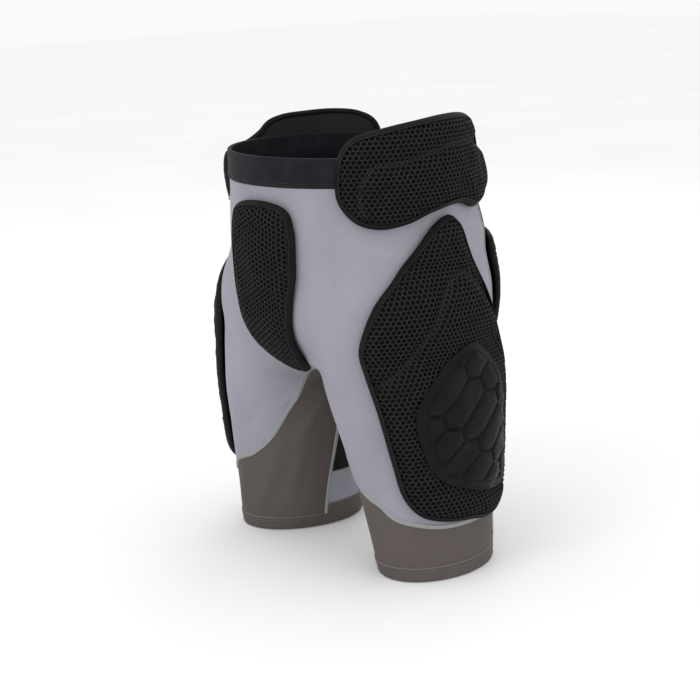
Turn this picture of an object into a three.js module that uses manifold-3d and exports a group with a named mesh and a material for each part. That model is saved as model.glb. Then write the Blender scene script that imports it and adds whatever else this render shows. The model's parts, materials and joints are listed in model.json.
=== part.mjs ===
// Padded impact shorts: a knit body with a waistband, two legs that swing at the hip,
// and eight foam pads under spacer mesh, two of them with a moulded plate.
// Millimetres. +Z up, -Y is the wearer's front, +X the wearer's left.
// The origin is the centre of the waistband's top plane.

import * as THREE from 'three';
import { mergeVertices } from 'three/addons/utils/BufferGeometryUtils.js';
import Module from 'manifold-3d';

const wasm = await Module();
wasm.setup();

// ---------- driving dimensions ----------

const BAND_BOTTOM = -28;          // lower edge of the waistband
const HEM_TOP = -391;             // upper edge of the turned hem
const HEM_BOTTOM = -404;          // lower edge of the legs
const FABRIC = 2.2;               // wall of the knit
const GAP = 0.3;                  // clearance between neighbouring pieces
const SWING_GAP = 1.5;            // clearance between pieces that swing past each other

// Half-widths of the hips (x), half-depths (y) and centre (y), as [height, value]
const HIP_A = [[60, 116], [0, 118], [-40, 120], [-90, 127], [-150, 133], [-230, 128]];
const HIP_B = [[60, 111], [0, 112], [-40, 118], [-90, 124], [-150, 116], [-230, 100]];
const HIP_C = [[60, 2], [0, 0], [-40, 5], [-90, 11], [-150, 8], [-230, 6]];
// The same for one leg, with its centre in x as well
const LEG_X = [[-100, 66], [-160, 68], [-230, 78], [-290, 88], [-350, 98], [-404, 104]];
const LEG_Y = [[-100, 4], [-160, 6], [-230, 6], [-290, 7], [-350, 8], [-404, 10]];
const LEG_A = [[-100, 58], [-160, 64], [-230, 66], [-290, 61], [-350, 54], [-404, 49]];
const LEG_B = [[-100, 96], [-160, 100], [-230, 94], [-290, 83], [-350, 73], [-404, 67]];
const SEAT_Z = -150;              // below this the hips close under the crotch
const SEAT_DEPTH = 76;            // to the crotch
const CROTCH_BLEND = 24;          // how softly the legs run into the hips
const TOE_OUT = 10;               // degrees that each leg opening turns outward
const TOE_OUT_DROP = 150;         // height below the seat over which it turns
const LEG_FADE = -120;            // above this the legs give way to the hips
const HIP_SCALE = 100;            // mean radius of the hips, so that the field is in millimetres
const LEG_SCALE = 75;             // and of a leg

// Axis inside the left leg and hip, slanting outward as it goes down
const AXIS_X = 66;
const AXIS_Z = -100;
const AXIS_SLANT = 0.125;

// Hip joint, an axis along X, and the edges of what swings with a leg
const HINGE_Z = -140;
const LEG_TOP = -106;             // front and back of the leg start here
const FRONT_CLEARANCE = 19;       // crease allowance above the leg, at the front
const BACK_CLEARANCE = 17;        // and at the back
const STRIP_HALF = 52;            // half-width of the centre strip that stays with the hips
const STRIP_RADIUS = 128;         // its reach from the hip axis
const CAP_RADIUS = 80;            // round top of the leg at the side of the hip
const CAP_X = 105;                // where that round top starts
const STRIP_BOTTOM = -180;        // under this the centre strip's edge is round about the hip axis
const STRIP_EYE = HINGE_Z + 20;   // the centre pads are laid out round a line along X at this height

// Seams
const SIDE_SEAM = 155;            // degrees round from the front to the black back panel
const INSEAM = 270;
const BACK_SEAM = -346;           // lower edge of the black back panel
const CUFF_BACK = -381;           // lower edge of the grey band under it
// Lower front seam, as [degrees round from the front, height]; it climbs to the crotch
const THIGH_SEAM = [[-90, -212], [-58, -222], [-45, -255], [-26, -296], [-8, -316], [5, -323],
  [14, -328], [25, -340], [45, -347], [67, -351], [124, -353], [180, -356]];

// Pads: outline as [degrees round from the front, height], thickness and base height
const HIP_BACK = [[169, -30], [163, -45], [150, -55], [135, -58], [117, -51], [86, -55], [62, -63]];
const HIP_PAD = { centre: [94, -14], height: 13, base: 3.6 };
const LEFT_HIP_PAD = { ...HIP_PAD, outline: [[18, -16], [22, 4], [30, 17], [50, 25], [75, 30], [101, 33],
  [125, 32], [140, 27], [150, 15], [159, 1], [166, -14], ...HIP_BACK, [39, -66], [25, -59], [17, -40]] };
// The right pad starts further back, reaches further round, and its front corner is low
const RIGHT_HIP_PAD = { ...HIP_PAD, outline: [[31, -18], [37, -7], [49, -4], [66, -1], [80, 6], [90, 15],
  [104, 20], [124, 22], [146, 23], [162, 20], [172, 11], [176, -8], ...HIP_BACK, [46, -62], [36, -54],
  [31, -38]] };
const THIGH_PAD = { outline: [[104, -61], [88, -67], [66, -89], [46, -114], [31, -139], [21, -172],
  [22, -200], [27, -236], [31, -280], [36, -318], [47, -336], [66, -344], [95, -348], [126, -353],
  [147, -346], [155, -320], [158, -250], [157, -205], [149, -176], [138, -150], [128, -122], [120, -92],
  [114, -70]],
centre: [92, -214], height: 12, base: 2.9 };
// The rear pads stay with the hips, so they stand off far enough for the legs to pass under them
const REAR_PAD = { outline: [[168, -101], [177, -94], [186, -93], [192, -104], [194, -130], [192, -162],
  [186, -184], [178, -189], [170, -182], [167, -160], [166, -125]],
centre: [180, -142], height: 9, base: 10 };
// Groin and tailbone pads: outline as [x, degrees down from level], seen from the hip axis
const GROIN_PAD = { outline: [[-24, -33], [10, -35], [40, -34], [47, -28], [48, -14], [45, 4], [40, 18],
  [33, 32], [26, 43], [17, 52], [7, 56], [-5, 51], [-15, 44], [-23, 35], [-30, 22], [-34, 8], [-34, -12],
  [-31, -27]], centre: [7, 2], height: 10, base: 3 };
const TAIL_PAD = { outline: [[-24, -24], [0, -27], [24, -24], [29, -12], [24, 4], [14, 17], [0, 23],
  [-14, 17], [-24, 4], [-29, -12]], centre: [0, -4], height: 10, base: 2.4 };
const PLATE = { outline: [[109, -178], [121, -188], [132, -206], [139, -250], [143, -300],
  [135, -323], [106, -321], [84, -314], [67, -306], [57, -294], [51, -270], [48, -242],
  [53, -225], [66, -207], [92, -184]], centre: [96, -252], height: 4.5 };
const CELL_PITCH = 23;            // degrees round between the plate's raised cells
const CELL_ROW = 25;              // height between its rows
const CELL_RISE = 1.6;
const SPACER_MESH = 1.5;          // thickness of the pads' mesh

// How far the parts of a pad reach, as fractions of its outline
const COVER_EDGE = 0.95;
const COVER_INNER_EDGE = 0.915;
const CORE_EDGE = 0.9;
const BINDING_EDGE = 0.962;
const LINING = 0.8;               // thickness of a lining

// Lifts of the waistband's walls off the body
const BAND_OUTER = 1.2;
const BAND_INNER = -3.4;
const BAND_WALL = 1.2;            // thickness of its cover
const BAND_FOLD = 1.6;            // and of its top fold

const AROUND = 20;                // facets round half of the body
const LOOPS = [-65, -105, -140, -168, -192, -209, -223, -236, -254, -290, -345];  // heights of its loops
const PAD_POINTS = 16;            // facets round a pad
const ROUND = 32;                 // facets round the waist
const BAR_ROUND = 56;             // facets round the hip joint's round cuts

// ---------- materials ----------

const material = (color, roughness, metalness = 0) =>
  new THREE.MeshStandardMaterial({ color, roughness, metalness });
const greyKnit = () => material(0xa3a3ac, 0.75);
const taupeKnit = () => material(0x5c5552, 0.8);
const blackKnit = () => material(0x1c1c1e, 0.85);
const spacerMesh = () => material(0x2b2b2a, 0.8);
const foam = () => material(0x8d8d88, 0.9);
const tape = () => material(0x202022, 0.7);
const mouldedPlate = () => material(0x222224, 0.45);
const bandKnit = () => material(0x2a262d, 0.7);
const elastic = () => material(0x55505a, 0.8);

// ---------- the body's surface ----------

const radians = THREE.MathUtils.degToRad;

// Smooth interpolation of a [height, value] table, heights falling
function along(table, z) {
  const last = table.length - 1;
  if (z >= table[0][0]) return table[0][1];
  if (z <= table[last][0]) return table[last][1];
  let i = 0;
  while (z < table[i + 1][0]) i += 1;
  const slope = (j) => {
    const a = table[Math.max(j - 1, 0)];
    const b = table[Math.min(j + 1, last)];
    return (b[1] - a[1]) / (b[0] - a[0]);
  };
  const step = table[i + 1][0] - table[i][0];
  const t = (z - table[i][0]) / step;
  const rise = t * t * (3 - 2 * t);
  return table[i][1] * (1 - rise) + table[i + 1][1] * rise
    + step * (slope(i) * t * (1 - t) ** 2 - slope(i + 1) * t * t * (1 - t));
}

// Negative inside the body, about one unit per millimetre near the surface
function field(x, y, z) {
  const down = Math.max(0, SEAT_Z - z) / SEAT_DEPTH;
  const across = x / along(HIP_A, z);
  const deep = (y - along(HIP_C, z)) / along(HIP_B, z);
  const hips = HIP_SCALE * (Math.hypot(across, deep, down) - 1);
  const turn = radians(TOE_OUT) * THREE.MathUtils.clamp((SEAT_Z - z) / TOE_OUT_DROP, 0, 1);
  const dx = Math.abs(x) - along(LEG_X, z);
  const dy = y - along(LEG_Y, z);
  const u = dx * Math.cos(turn) + dy * Math.sin(turn);
  const w = dy * Math.cos(turn) - dx * Math.sin(turn);
  const fade = Math.max(0, z - LEG_FADE);
  const leg = LEG_SCALE * (Math.hypot(u / along(LEG_A, z), w / along(LEG_B, z)) - 1) + fade;
  const mix = THREE.MathUtils.clamp(0.5 + 0.5 * (leg - hips) / CROTCH_BLEND, 0, 1);
  return leg + (hips - leg) * mix - CROTCH_BLEND * mix * (1 - mix);
}

// The point where a ray from inside meets the level of the field
function surfacePoint(origin, direction, level = 0) {
  const reach = 260;
  const march = 4;
  const at = (r) => origin.clone().addScaledVector(direction, r);
  const value = (r) => {
    const p = at(r);
    return field(p.x, p.y, p.z) - level;
  };
  let far = march;
  while (far < reach && value(far) < 0) far += march;
  let near = far - march;
  for (let i = 0; i < 30; i += 1) {
    const middle = (near + far) / 2;
    if (value(middle) < 0) near = middle;
    else far = middle;
  }
  return at((near + far) / 2);
}

function surfaceNormal(p) {
  const e = 0.5;
  return new THREE.Vector3(
    field(p.x + e, p.y, p.z) - field(p.x - e, p.y, p.z),
    field(p.x, p.y + e, p.z) - field(p.x, p.y - e, p.z),
    field(p.x, p.y, p.z + e) - field(p.x, p.y, p.z - e),
  ).normalize();
}

const axisX = (z) => AXIS_X - AXIS_SLANT * (z - AXIS_Z);

// A place on the left side: degrees round from the front, height, and lift off the surface
function sideMap(degrees, z, lift) {
  const a = radians(degrees);
  const direction = new THREE.Vector3(Math.sin(a), -Math.cos(a), 0);
  const p = surfacePoint(new THREE.Vector3(axisX(z), 0, z), direction);
  return p.addScaledVector(surfaceNormal(p), lift);
}

// A place on the centre strip: x, degrees down from level, on the front (-1) or the back (+1)
const stripMap = (way) => (x, degrees, lift) => {
  const a = radians(degrees);
  const direction = new THREE.Vector3(0, way * Math.cos(a), -Math.sin(a));
  const p = surfacePoint(new THREE.Vector3(x, 0, STRIP_EYE), direction);
  return p.addScaledVector(surfaceNormal(p), lift);
};

// A place on the waist: degrees round from straight back, height, and lift
function waistMap(degrees, z, lift) {
  const a = radians(degrees);
  const p = surfacePoint(new THREE.Vector3(0, 0, z), new THREE.Vector3(Math.sin(a), Math.cos(a), 0));
  return p.addScaledVector(surfaceNormal(p), lift);
}

// ---------- solids ----------

function toManifold(points, triangles) {
  let volume = 0;
  for (const [a, b, c] of triangles) {
    volume += points[a].clone().cross(points[b]).dot(points[c]);
  }
  const faces = volume < 0 ? triangles.map(([a, b, c]) => [a, c, b]) : triangles;
  return new wasm.Manifold(new wasm.Mesh({
    numProp: 3,
    vertProperties: Float32Array.from(points.flatMap((p) => [p.x, p.y, p.z])),
    triVerts: Uint32Array.from(faces.flat()),
  }));
}

function fromThree(geometry) {
  geometry.deleteAttribute('normal');
  geometry.deleteAttribute('uv');
  const merged = mergeVertices(geometry, 1e-4);
  return new wasm.Manifold(new wasm.Mesh({
    numProp: 3,
    vertProperties: Float32Array.from(merged.attributes.position.array),
    triVerts: Uint32Array.from(merged.index.array),
  }));
}

function box(x0, x1, y0, y1, z0, z1) {
  const geometry = new THREE.BoxGeometry(x1 - x0, y1 - y0, z1 - z0);
  geometry.translate((x0 + x1) / 2, (y0 + y1) / 2, (z0 + z1) / 2);
  return fromThree(geometry);
}

// A round bar along the hip axis
function hipBar(radius, x0, x1) {
  const geometry = new THREE.CylinderGeometry(radius, radius, x1 - x0, BAR_ROUND);
  geometry.rotateZ(Math.PI / 2);
  geometry.translate((x0 + x1) / 2, 0, HINGE_Z);
  return fromThree(geometry);
}

// Closed loops of equal length, stacked and capped
function stack(loops) {
  const n = loops[0].length;
  const points = loops.flat();
  const triangles = [];
  for (let i = 0; i + 1 < loops.length; i += 1) {
    for (let j = 0; j < n; j += 1) {
      const k = (j + 1) % n;
      triangles.push([i * n + j, i * n + k, (i + 1) * n + k], [i * n + j, (i + 1) * n + k, (i + 1) * n + j]);
    }
  }
  for (const [row, flip] of [[0, true], [loops.length - 1, false]]) {
    const middle = new THREE.Vector3();
    loops[row].forEach((p) => middle.addScaledVector(p, 1 / n));
    points.push(middle);
    for (let j = 0; j < n; j += 1) {
      const k = (j + 1) % n;
      const edge = [row * n + j, row * n + k];
      triangles.push(flip ? [points.length - 1, edge[1], edge[0]] : [points.length - 1, edge[0], edge[1]]);
    }
  }
  return toManifold(points, triangles);
}

// One loop of the body's left half at a height; it crosses the middle plane by a hair
function halfLoop(z, level) {
  const narrow = 0.12;
  const origin = new THREE.Vector3(axisX(z), along(LEG_Y, z), z);
  const plane = -0.5;
  const edge = (way) => {
    let y = origin.y;
    while (field(plane, y, z) < level && Math.abs(y) < 200) y += way * 0.5;
    return y;
  };
  const joined = field(plane, origin.y, z) < level;
  const spread = (way) => (joined ? Math.atan2(Math.abs(edge(way) - origin.y), origin.x - plane) : narrow);
  const front = -Math.PI / 2 + Math.max(spread(-1), narrow);
  const back = 1.5 * Math.PI - Math.max(spread(1), narrow);
  const loop = [];
  const add = (a) => {
    const direction = new THREE.Vector3(Math.sin(a), -Math.cos(a), 0);
    const p = surfacePoint(origin, direction, level);
    if (p.x < plane) {
      p.copy(origin).addScaledVector(direction, (origin.x - plane) / -direction.x);
    }
    loop.push(p);
  };
  for (let i = 0; i <= AROUND; i += 1) add(front + (back - front) * i / AROUND);
  const flat = 5;
  for (let i = 1; i < flat; i += 1) add(back + (front + 2 * Math.PI - back) * i / flat);
  return loop;
}

const mirror = (solid) => solid.mirror([1, 0, 0]);

// The whole body as a solid, its surface at a level of the field
function bodySolid(level, top, bottom) {
  const half = stack([top, ...LOOPS, bottom].map((z) => halfLoop(z, level)));
  return half.add(mirror(half));
}

// A solid of revolution in a pad's own outline: profile points are [fraction of the outline, lift]
function padSolid(map, shape, profile, closed = false) {
  const curve = new THREE.CatmullRomCurve3(
    shape.outline.map(([u, v]) => new THREE.Vector3(u, v, 0)), true, 'centripetal');
  const rim = curve.getSpacedPoints(PAD_POINTS).slice(0, PAD_POINTS);
  const points = [];
  const rows = profile.map(([t, lift]) => {
    const row = [];
    const spots = t === 0 ? [shape.centre] : rim.map((p) => [
      shape.centre[0] + t * (p.x - shape.centre[0]), shape.centre[1] + t * (p.y - shape.centre[1])]);
    for (const [u, v] of spots) {
      row.push(points.length);
      points.push(map(u, v, lift));
    }
    return row;
  });
  if (closed) rows.push(rows[0]);
  const triangles = [];
  for (let i = 0; i + 1 < rows.length; i += 1) {
    const [a, b] = [rows[i], rows[i + 1]];
    const outward = profile[(i + 1) % profile.length][0] >= profile[i][0];
    for (let j = 0; j < PAD_POINTS; j += 1) {
      const k = (j + 1) % PAD_POINTS;
      if (a.length === 1) triangles.push([a[0], b[k], b[j]]);
      else if (b.length === 1) triangles.push([a[j], a[k], b[0]]);
      else if (outward) triangles.push([a[j], a[k], b[k]], [a[j], b[k], b[j]]);
      else triangles.push([a[j], a[k], b[j]], [a[k], b[k], b[j]]);
    }
  }
  return toManifold(points, triangles);
}

// The crowned top of a pad, as profile points from its middle to its rim
const crown = (scale, base, height, drop = 0) => [[0, 1], [0.4, 0.96], [0.76, 0.8], [1, 0.36]]
  .map(([t, rise]) => [t * scale, base + rise * height - drop]);
const floorOf = (scale, lift) => [1, 0.76, 0.4, 0].map((t) => [t * scale, lift]);

// ---------- assembly ----------

const shorts = new THREE.Group();
shorts.name = 'padded_impact_shorts';

// The largest body of a cut, without the slivers that a cut can leave
function largest(solid) {
  return solid.decompose().reduce((a, b) => (a.volume() > b.volume() ? a : b));
}

function addPart(name, solid, finish) {
  const { vertProperties, triVerts } = largest(solid).getMesh();
  const geometry = new THREE.BufferGeometry();
  geometry.setAttribute('position', new THREE.BufferAttribute(Float32Array.from(vertProperties), 3));
  geometry.setIndex(Array.from(triVerts));
  geometry.computeVertexNormals();
  const mesh = new THREE.Mesh(geometry, finish);
  mesh.name = name;
  shorts.add(mesh);
}

// The same piece for both sides; the solid given is the left one
function addPair(name, solid, finish) {
  addPart(`left_${name}`, solid, finish());
  addPart(`right_${name}`, mirror(solid), finish());
}

// ---------- knit panels ----------

const LOW = HEM_BOTTOM - 20;
const WIDE = 220;

const shell = bodySolid(0, BAND_BOTTOM - GAP, HEM_BOTTOM)
  .subtract(bodySolid(-FABRIC, BAND_BOTTOM + 5, HEM_BOTTOM - 5));

// What swings with the left leg; the hips are cut back from it by SWING_GAP and the crease allowances
function legZone(grow, frontRise, backRise) {
  const side = STRIP_HALF + SWING_GAP - grow;
  return box(side, WIDE, -WIDE, 0, LOW, LEG_TOP + frontRise)
    .add(box(side, WIDE, 0, WIDE, LOW, LEG_TOP + backRise))
    .add(hipBar(CAP_RADIUS + grow, CAP_X - grow, WIDE))
    .add(box(-grow, side + 1, -WIDE, WIDE, LOW, STRIP_BOTTOM)
      .subtract(hipBar(STRIP_RADIUS + SWING_GAP - grow, -WIDE, WIDE)));
}

// The back of the left leg and hip, from the side seam round to the inseam
function backWedge(grow) {
  const reach = 400;
  const loop = (z) => [
    new THREE.Vector3(axisX(z), -grow, z),
    ...[SIDE_SEAM, 190, 230, INSEAM].map((d) => {
      const a = radians(d);
      return new THREE.Vector3(axisX(z) + reach * Math.sin(a), -reach * Math.cos(a) - grow, z);
    }),
  ];
  return stack([loop(BAND_BOTTOM + 20), loop(LOW)]);
}

// Everything of the left leg below the lower front seam, lowered by a clearance
function belowSeam(drop) {
  const heightAt = (d) => {
    const table = THIGH_SEAM;
    let i = 0;
    while (i + 2 < table.length && d > table[i + 1][0]) i += 1;
    const t = THREE.MathUtils.clamp((d - table[i][0]) / (table[i + 1][0] - table[i][0]), 0, 1);
    return table[i][1] + t * (table[i + 1][1] - table[i][1]) - drop;
  };
  const ring = (radius, low) => {
    const loop = [];
    for (let d = -180; d < 180; d += 15) {
      const z = heightAt(d < -90 ? -180 - d : d);
      const a = radians(d);
      loop.push(new THREE.Vector3(axisX(z) + radius * Math.sin(a), -radius * Math.cos(a), low ? LOW : z));
    }
    return loop;
  };
  return stack([...[8, 40, 55, 70, 85, 170].map((radius) => ring(radius, false)), ring(170, true)]);
}

const leftLegShell = shell.intersect(legZone(0, 0, 0)).intersect(box(0, WIDE, -WIDE, WIDE, LOW, 0));
const leftLegCut = legZone(SWING_GAP, FRONT_CLEARANCE, BACK_CLEARANCE);
const hipShell = shell.subtract(leftLegCut).subtract(mirror(leftLegCut));
const wedge = backWedge(0);
const wedgeCut = backWedge(GAP);
const seatCut = wedgeCut.add(mirror(wedgeCut));

const hipFront = hipShell.subtract(seatCut);
const centreStrip = box(-STRIP_HALF, STRIP_HALF, -WIDE, WIDE, LOW, LEG_TOP);
const centreStripCut = box(-STRIP_HALF - 1, STRIP_HALF + 1, -WIDE, WIDE, LOW, LEG_TOP + GAP);
addPair('front_panel', hipFront.subtract(centreStripCut)
  .intersect(box(GAP / 2, WIDE, -WIDE, WIDE, LOW, 0)), greyKnit);
addPart('groin_gusset', hipFront.intersect(centreStrip), greyKnit());
addPart('seat_panel', hipShell.intersect(wedge.add(mirror(wedge))), blackKnit());

const aboveHem = box(-WIDE, WIDE, -WIDE, WIDE, HEM_TOP + GAP, 0);
const legFront = leftLegShell.subtract(wedgeCut);
const legBack = leftLegShell.intersect(wedge);
addPair('thigh_panel', legFront.subtract(belowSeam(0)), greyKnit);
addPair('inner_leg_panel', legFront.intersect(belowSeam(GAP)).intersect(aboveHem), taupeKnit);
addPair('back_leg_panel', legBack.intersect(box(0, WIDE, -WIDE, WIDE, BACK_SEAM + GAP, 0)), blackKnit);
addPair('lower_back_panel', legBack
  .intersect(box(0, WIDE, -WIDE, WIDE, CUFF_BACK + GAP, BACK_SEAM)), greyKnit);
addPair('hem_cuff', leftLegShell.intersect(box(0, WIDE, -WIDE, WIDE, LOW, HEM_TOP))
  .add(legBack.intersect(box(0, WIDE, -WIDE, WIDE, HEM_TOP - 1, CUFF_BACK))), taupeKnit);

// ---------- waistband ----------

// An oval ring of the waist, between two lifts off the body and two heights
function waistRing(inner, outer, bottom, top) {
  const wall = (lift, z) => {
    const loop = [];
    for (let i = 0; i < ROUND; i += 1) {
      loop.push(waistMap(360 * i / ROUND, Math.max(z, BAND_BOTTOM), lift).setZ(z));
    }
    return loop;
  };
  const solid = (lift, extra) => stack([wall(lift, top + extra), wall(lift, bottom - extra)]);
  return solid(outer, 0).subtract(solid(inner, 1));
}

const cavityInner = BAND_INNER + BAND_WALL;
const cavityOuter = BAND_OUTER - BAND_WALL;
const bandCavity = waistRing(cavityInner, cavityOuter, BAND_BOTTOM - 1, -BAND_FOLD);
const bandElastic = waistRing(cavityInner + GAP, cavityOuter - GAP, BAND_BOTTOM + 0.5, -BAND_FOLD - GAP);
const bandCover = waistRing(BAND_INNER, BAND_OUTER, BAND_BOTTOM, 0).subtract(bandCavity);
addPart('waistband_cover', bandCover, bandKnit());
addPart('waistband_elastic', bandElastic, elastic());

// ---------- pads ----------

// Mesh cover, foam core and sewn binding of one pad, and the lining behind it where it has one
function padPieces(map, shape, lined = false) {
  const { base, height } = shape;
  const coreFloor = base + (lined ? LINING : 0) + 0.4;
  const pieces = {
    mesh_cover: padSolid(map, shape, [...crown(COVER_EDGE, base, height), [COVER_EDGE, base],
      [COVER_INNER_EDGE, base], ...crown(COVER_INNER_EDGE, base, height, SPACER_MESH).reverse()]),
    foam_core: padSolid(map, shape, [...crown(CORE_EDGE, base, height, SPACER_MESH + 0.6),
      ...floorOf(CORE_EDGE, coreFloor)]),
    binding: padSolid(map, shape, [[BINDING_EDGE, base], [1, base], [1.004, base + 2.6],
      [0.98, base + 4.6], [BINDING_EDGE, base + 4.4]], true),
  };
  if (lined) {
    pieces.lining = padSolid(map, shape, [...floorOf(CORE_EDGE, base + LINING).reverse(),
      ...floorOf(CORE_EDGE, base)]);
  }
  return pieces;
}

const PAD_FINISH = { mesh_cover: spacerMesh, foam_core: foam, lining: blackKnit, binding: tape };

function addPad(name, solids, side = (solid) => solid) {
  for (const [piece, solid] of Object.entries(solids)) {
    addPart(`${name}_${piece}`, side(solid), PAD_FINISH[piece]());
  }
}

// The hip pads stand up past the knit on a lining; the knit backs the others
addPad('left_hip_pad', padPieces(sideMap, LEFT_HIP_PAD, true));
addPad('right_hip_pad', padPieces(sideMap, RIGHT_HIP_PAD, true), mirror);
for (const [name, shape] of Object.entries({ thigh_pad: THIGH_PAD, rear_pad: REAR_PAD })) {
  const pieces = padPieces(sideMap, shape);
  addPad(`left_${name}`, pieces);
  addPad(`right_${name}`, pieces, mirror);
}
addPad('groin_pad', padPieces(stripMap(-1), GROIN_PAD));
addPad('tail_pad', padPieces(stripMap(1), TAIL_PAD));

// ---------- moulded plates on the thigh pads ----------

// One raised six-sided cell, long along the leg and leaning forward
function plateCell(degrees, z, foot, top) {
  const corners = [[0, 0.62], [0.5, 0.3], [0.5, -0.34], [0, -0.62], [-0.5, -0.3], [-0.5, 0.34]];
  const loop = (scale, lift) => corners.map(([u, v]) =>
    sideMap(degrees + scale * CELL_PITCH * (u - 0.25 * v), z + scale * CELL_ROW * v * 1.5, lift));
  return stack([loop(0.82, top), loop(0.92, foot)]);
}

function insidePlate(degrees, z, margin) {
  const [cu, cv] = PLATE.centre;
  const spot = new THREE.Vector2(cu + (degrees - cu) / margin, cv + (z - cv) / margin);
  let inside = false;
  PLATE.outline.forEach(([u, v], i) => {
    const [pu, pv] = PLATE.outline[(i + 1) % PLATE.outline.length];
    if ((v > spot.y) !== (pv > spot.y) && spot.x < (pu - u) * (spot.y - v) / (pv - v) + u) inside = !inside;
  });
  return inside;
}

function thighPlate() {
  const { base, height } = THIGH_PAD;
  const top = base + height;
  const clear = padSolid(sideMap, THIGH_PAD,
    [...crown(COVER_EDGE, base, height + GAP), ...floorOf(COVER_EDGE, base)]);
  let plate = padSolid(sideMap, PLATE, [[0, top + 3.2], [0.45, top + 3], [0.84, top + 2.6],
    [0.87, top + PLATE.height], [0.96, top + PLATE.height - 0.4], [1, top + 1.2], [1, top - 3.6],
    [0.5, top - 2.5], [0, top - 2]]);
  for (let row = -3; row <= 3; row += 1) {
    const z = PLATE.centre[1] + row * CELL_ROW;
    for (let column = -2; column <= 2; column += 1) {
      const degrees = PLATE.centre[0] + (column + (row & 1) * 0.5) * CELL_PITCH - 0.12 * row * CELL_PITCH;
      if (insidePlate(degrees, z, 0.66)) {
        plate = plate.add(plateCell(degrees, z, top + 1.4, top + 3.2 + CELL_RISE));
      }
    }
  }
  return plate.subtract(clear);
}

addPair('thigh_plate', thighPlate(), mouldedPlate);

export default shorts;
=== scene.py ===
import json
import math

import bpy
import numpy as np
from mathutils import Matrix, Vector
from mathutils.kdtree import KDTree


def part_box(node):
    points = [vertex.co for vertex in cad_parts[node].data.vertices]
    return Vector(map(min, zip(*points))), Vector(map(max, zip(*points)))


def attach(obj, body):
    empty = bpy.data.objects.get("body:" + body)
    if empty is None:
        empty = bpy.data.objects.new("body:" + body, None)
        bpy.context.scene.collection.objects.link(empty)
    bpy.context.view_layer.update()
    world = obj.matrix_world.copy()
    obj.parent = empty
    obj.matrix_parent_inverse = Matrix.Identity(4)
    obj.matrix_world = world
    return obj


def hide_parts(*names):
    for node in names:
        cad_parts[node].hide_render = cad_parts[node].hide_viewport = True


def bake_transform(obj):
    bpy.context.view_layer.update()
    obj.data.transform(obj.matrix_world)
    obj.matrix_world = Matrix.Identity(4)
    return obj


# Padded impact shorts: knit panels, waistband, seams, eight mesh-covered pads and two moulded plates.
# Lengths in this script are millimetres until a mesh is made; -Y is the wearer's front, +X the wearer's left.

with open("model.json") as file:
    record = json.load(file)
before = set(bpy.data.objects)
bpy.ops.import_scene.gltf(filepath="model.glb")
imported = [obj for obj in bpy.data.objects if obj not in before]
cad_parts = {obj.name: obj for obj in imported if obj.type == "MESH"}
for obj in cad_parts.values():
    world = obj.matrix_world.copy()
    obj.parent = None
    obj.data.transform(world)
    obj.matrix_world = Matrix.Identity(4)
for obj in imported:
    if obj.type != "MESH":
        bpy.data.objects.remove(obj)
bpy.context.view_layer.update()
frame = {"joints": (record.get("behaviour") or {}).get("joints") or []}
MM = 0.001


def edge_height(node, end):
    """The lowest (0) or highest (1) z of a CAD node, in millimetres."""
    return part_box(node)[end].z / MM


BAND_BOTTOM = edge_height("waistband_cover", 0)
BAND_TOP = edge_height("waistband_cover", 1)
HEM_BOTTOM = edge_height("left_hem_cuff", 0)
HEM_TOP = edge_height("left_inner_leg_panel", 0)
BACK_SEAM = edge_height("left_back_leg_panel", 0)
CUFF_BACK = edge_height("left_lower_back_panel", 0)
HINGE_Z = frame["joints"][0]["pos_m"][2] / MM

# Half-widths of the hips (x), half-depths (y) and centre (y), as [height, value]
HIP_A = [[60, 116], [0, 118], [-40, 120], [-90, 127], [-150, 133], [-230, 128]]
HIP_B = [[60, 111], [0, 112], [-40, 118], [-90, 124], [-150, 116], [-230, 100]]
HIP_C = [[60, 2], [0, 0], [-40, 5], [-90, 11], [-150, 8], [-230, 6]]
# The same for one leg, with its centre in x as well
LEG_X = [[-100, 66], [-160, 68], [-230, 78], [-290, 88], [-350, 98], [-404, 104]]
LEG_Y = [[-100, 4], [-160, 6], [-230, 6], [-290, 7], [-350, 8], [-404, 10]]
LEG_A = [[-100, 58], [-160, 64], [-230, 66], [-290, 61], [-350, 54], [-404, 49]]
LEG_B = [[-100, 96], [-160, 100], [-230, 94], [-290, 83], [-350, 73], [-404, 67]]
HIP_SCALE = 100                   # the hips' field grows by about one a millimetre
LEG_SCALE = 75
LEG_FADE = -120                   # above this the legs give way to the hips
SEAT_Z = -150
SEAT_DEPTH = 76
CROTCH_BLEND = 24
TOE_OUT = math.radians(10)
TOE_OUT_DROP = 150                # height over which the leg openings turn outward
TOE_OUT_ONSET = 25                # how softly they start to
LEG_FADE_ONSET = 22               # how softly the legs give way to the hips
AXIS_X, AXIS_Z = 66, -100         # a point of the axis inside the left leg and hip
AXIS_SLANT = 0.125                # how far it goes outward for each millimetre down
STRIP_EYE = HINGE_Z + 20          # the centre pads are laid out round a line along X at this height

SIDE_SEAM = 155                   # degrees round from the front
INSEAM = 270
THIGH_SEAM = [[-90, -212], [-58, -222], [-45, -255], [-26, -296], [-8, -316], [5, -323],
              [14, -328], [25, -340], [45, -347], [67, -351], [124, -353], [180, -356]]
FABRIC = 1.1
HEM_ROLL = 2.5                    # height of the rounding at the hem's lower edge

# Where soft pieces turn from the hips to a leg: a slanted line from the side of the hip to the crotch
CREASE_TOP = Vector((0.125, 0, -0.033))
CREASE_ACROSS = Vector((0.853, 0, -0.523))
CREASE_WIDTH = 0.055


def eased(x, low, high):
    """Smoothly from 0 to 1 as x goes from low to high."""
    t = np.clip((x - low) / (high - low), 0, 1)
    return t * t * (3 - 2 * t)


def dome(x):
    """The quarter circle that rises from 0 at 0 to 1 at 1."""
    return np.sqrt(1 - (1 - np.clip(x, 0, 1)) ** 2)


# ---------- the body's surface ----------

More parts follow.
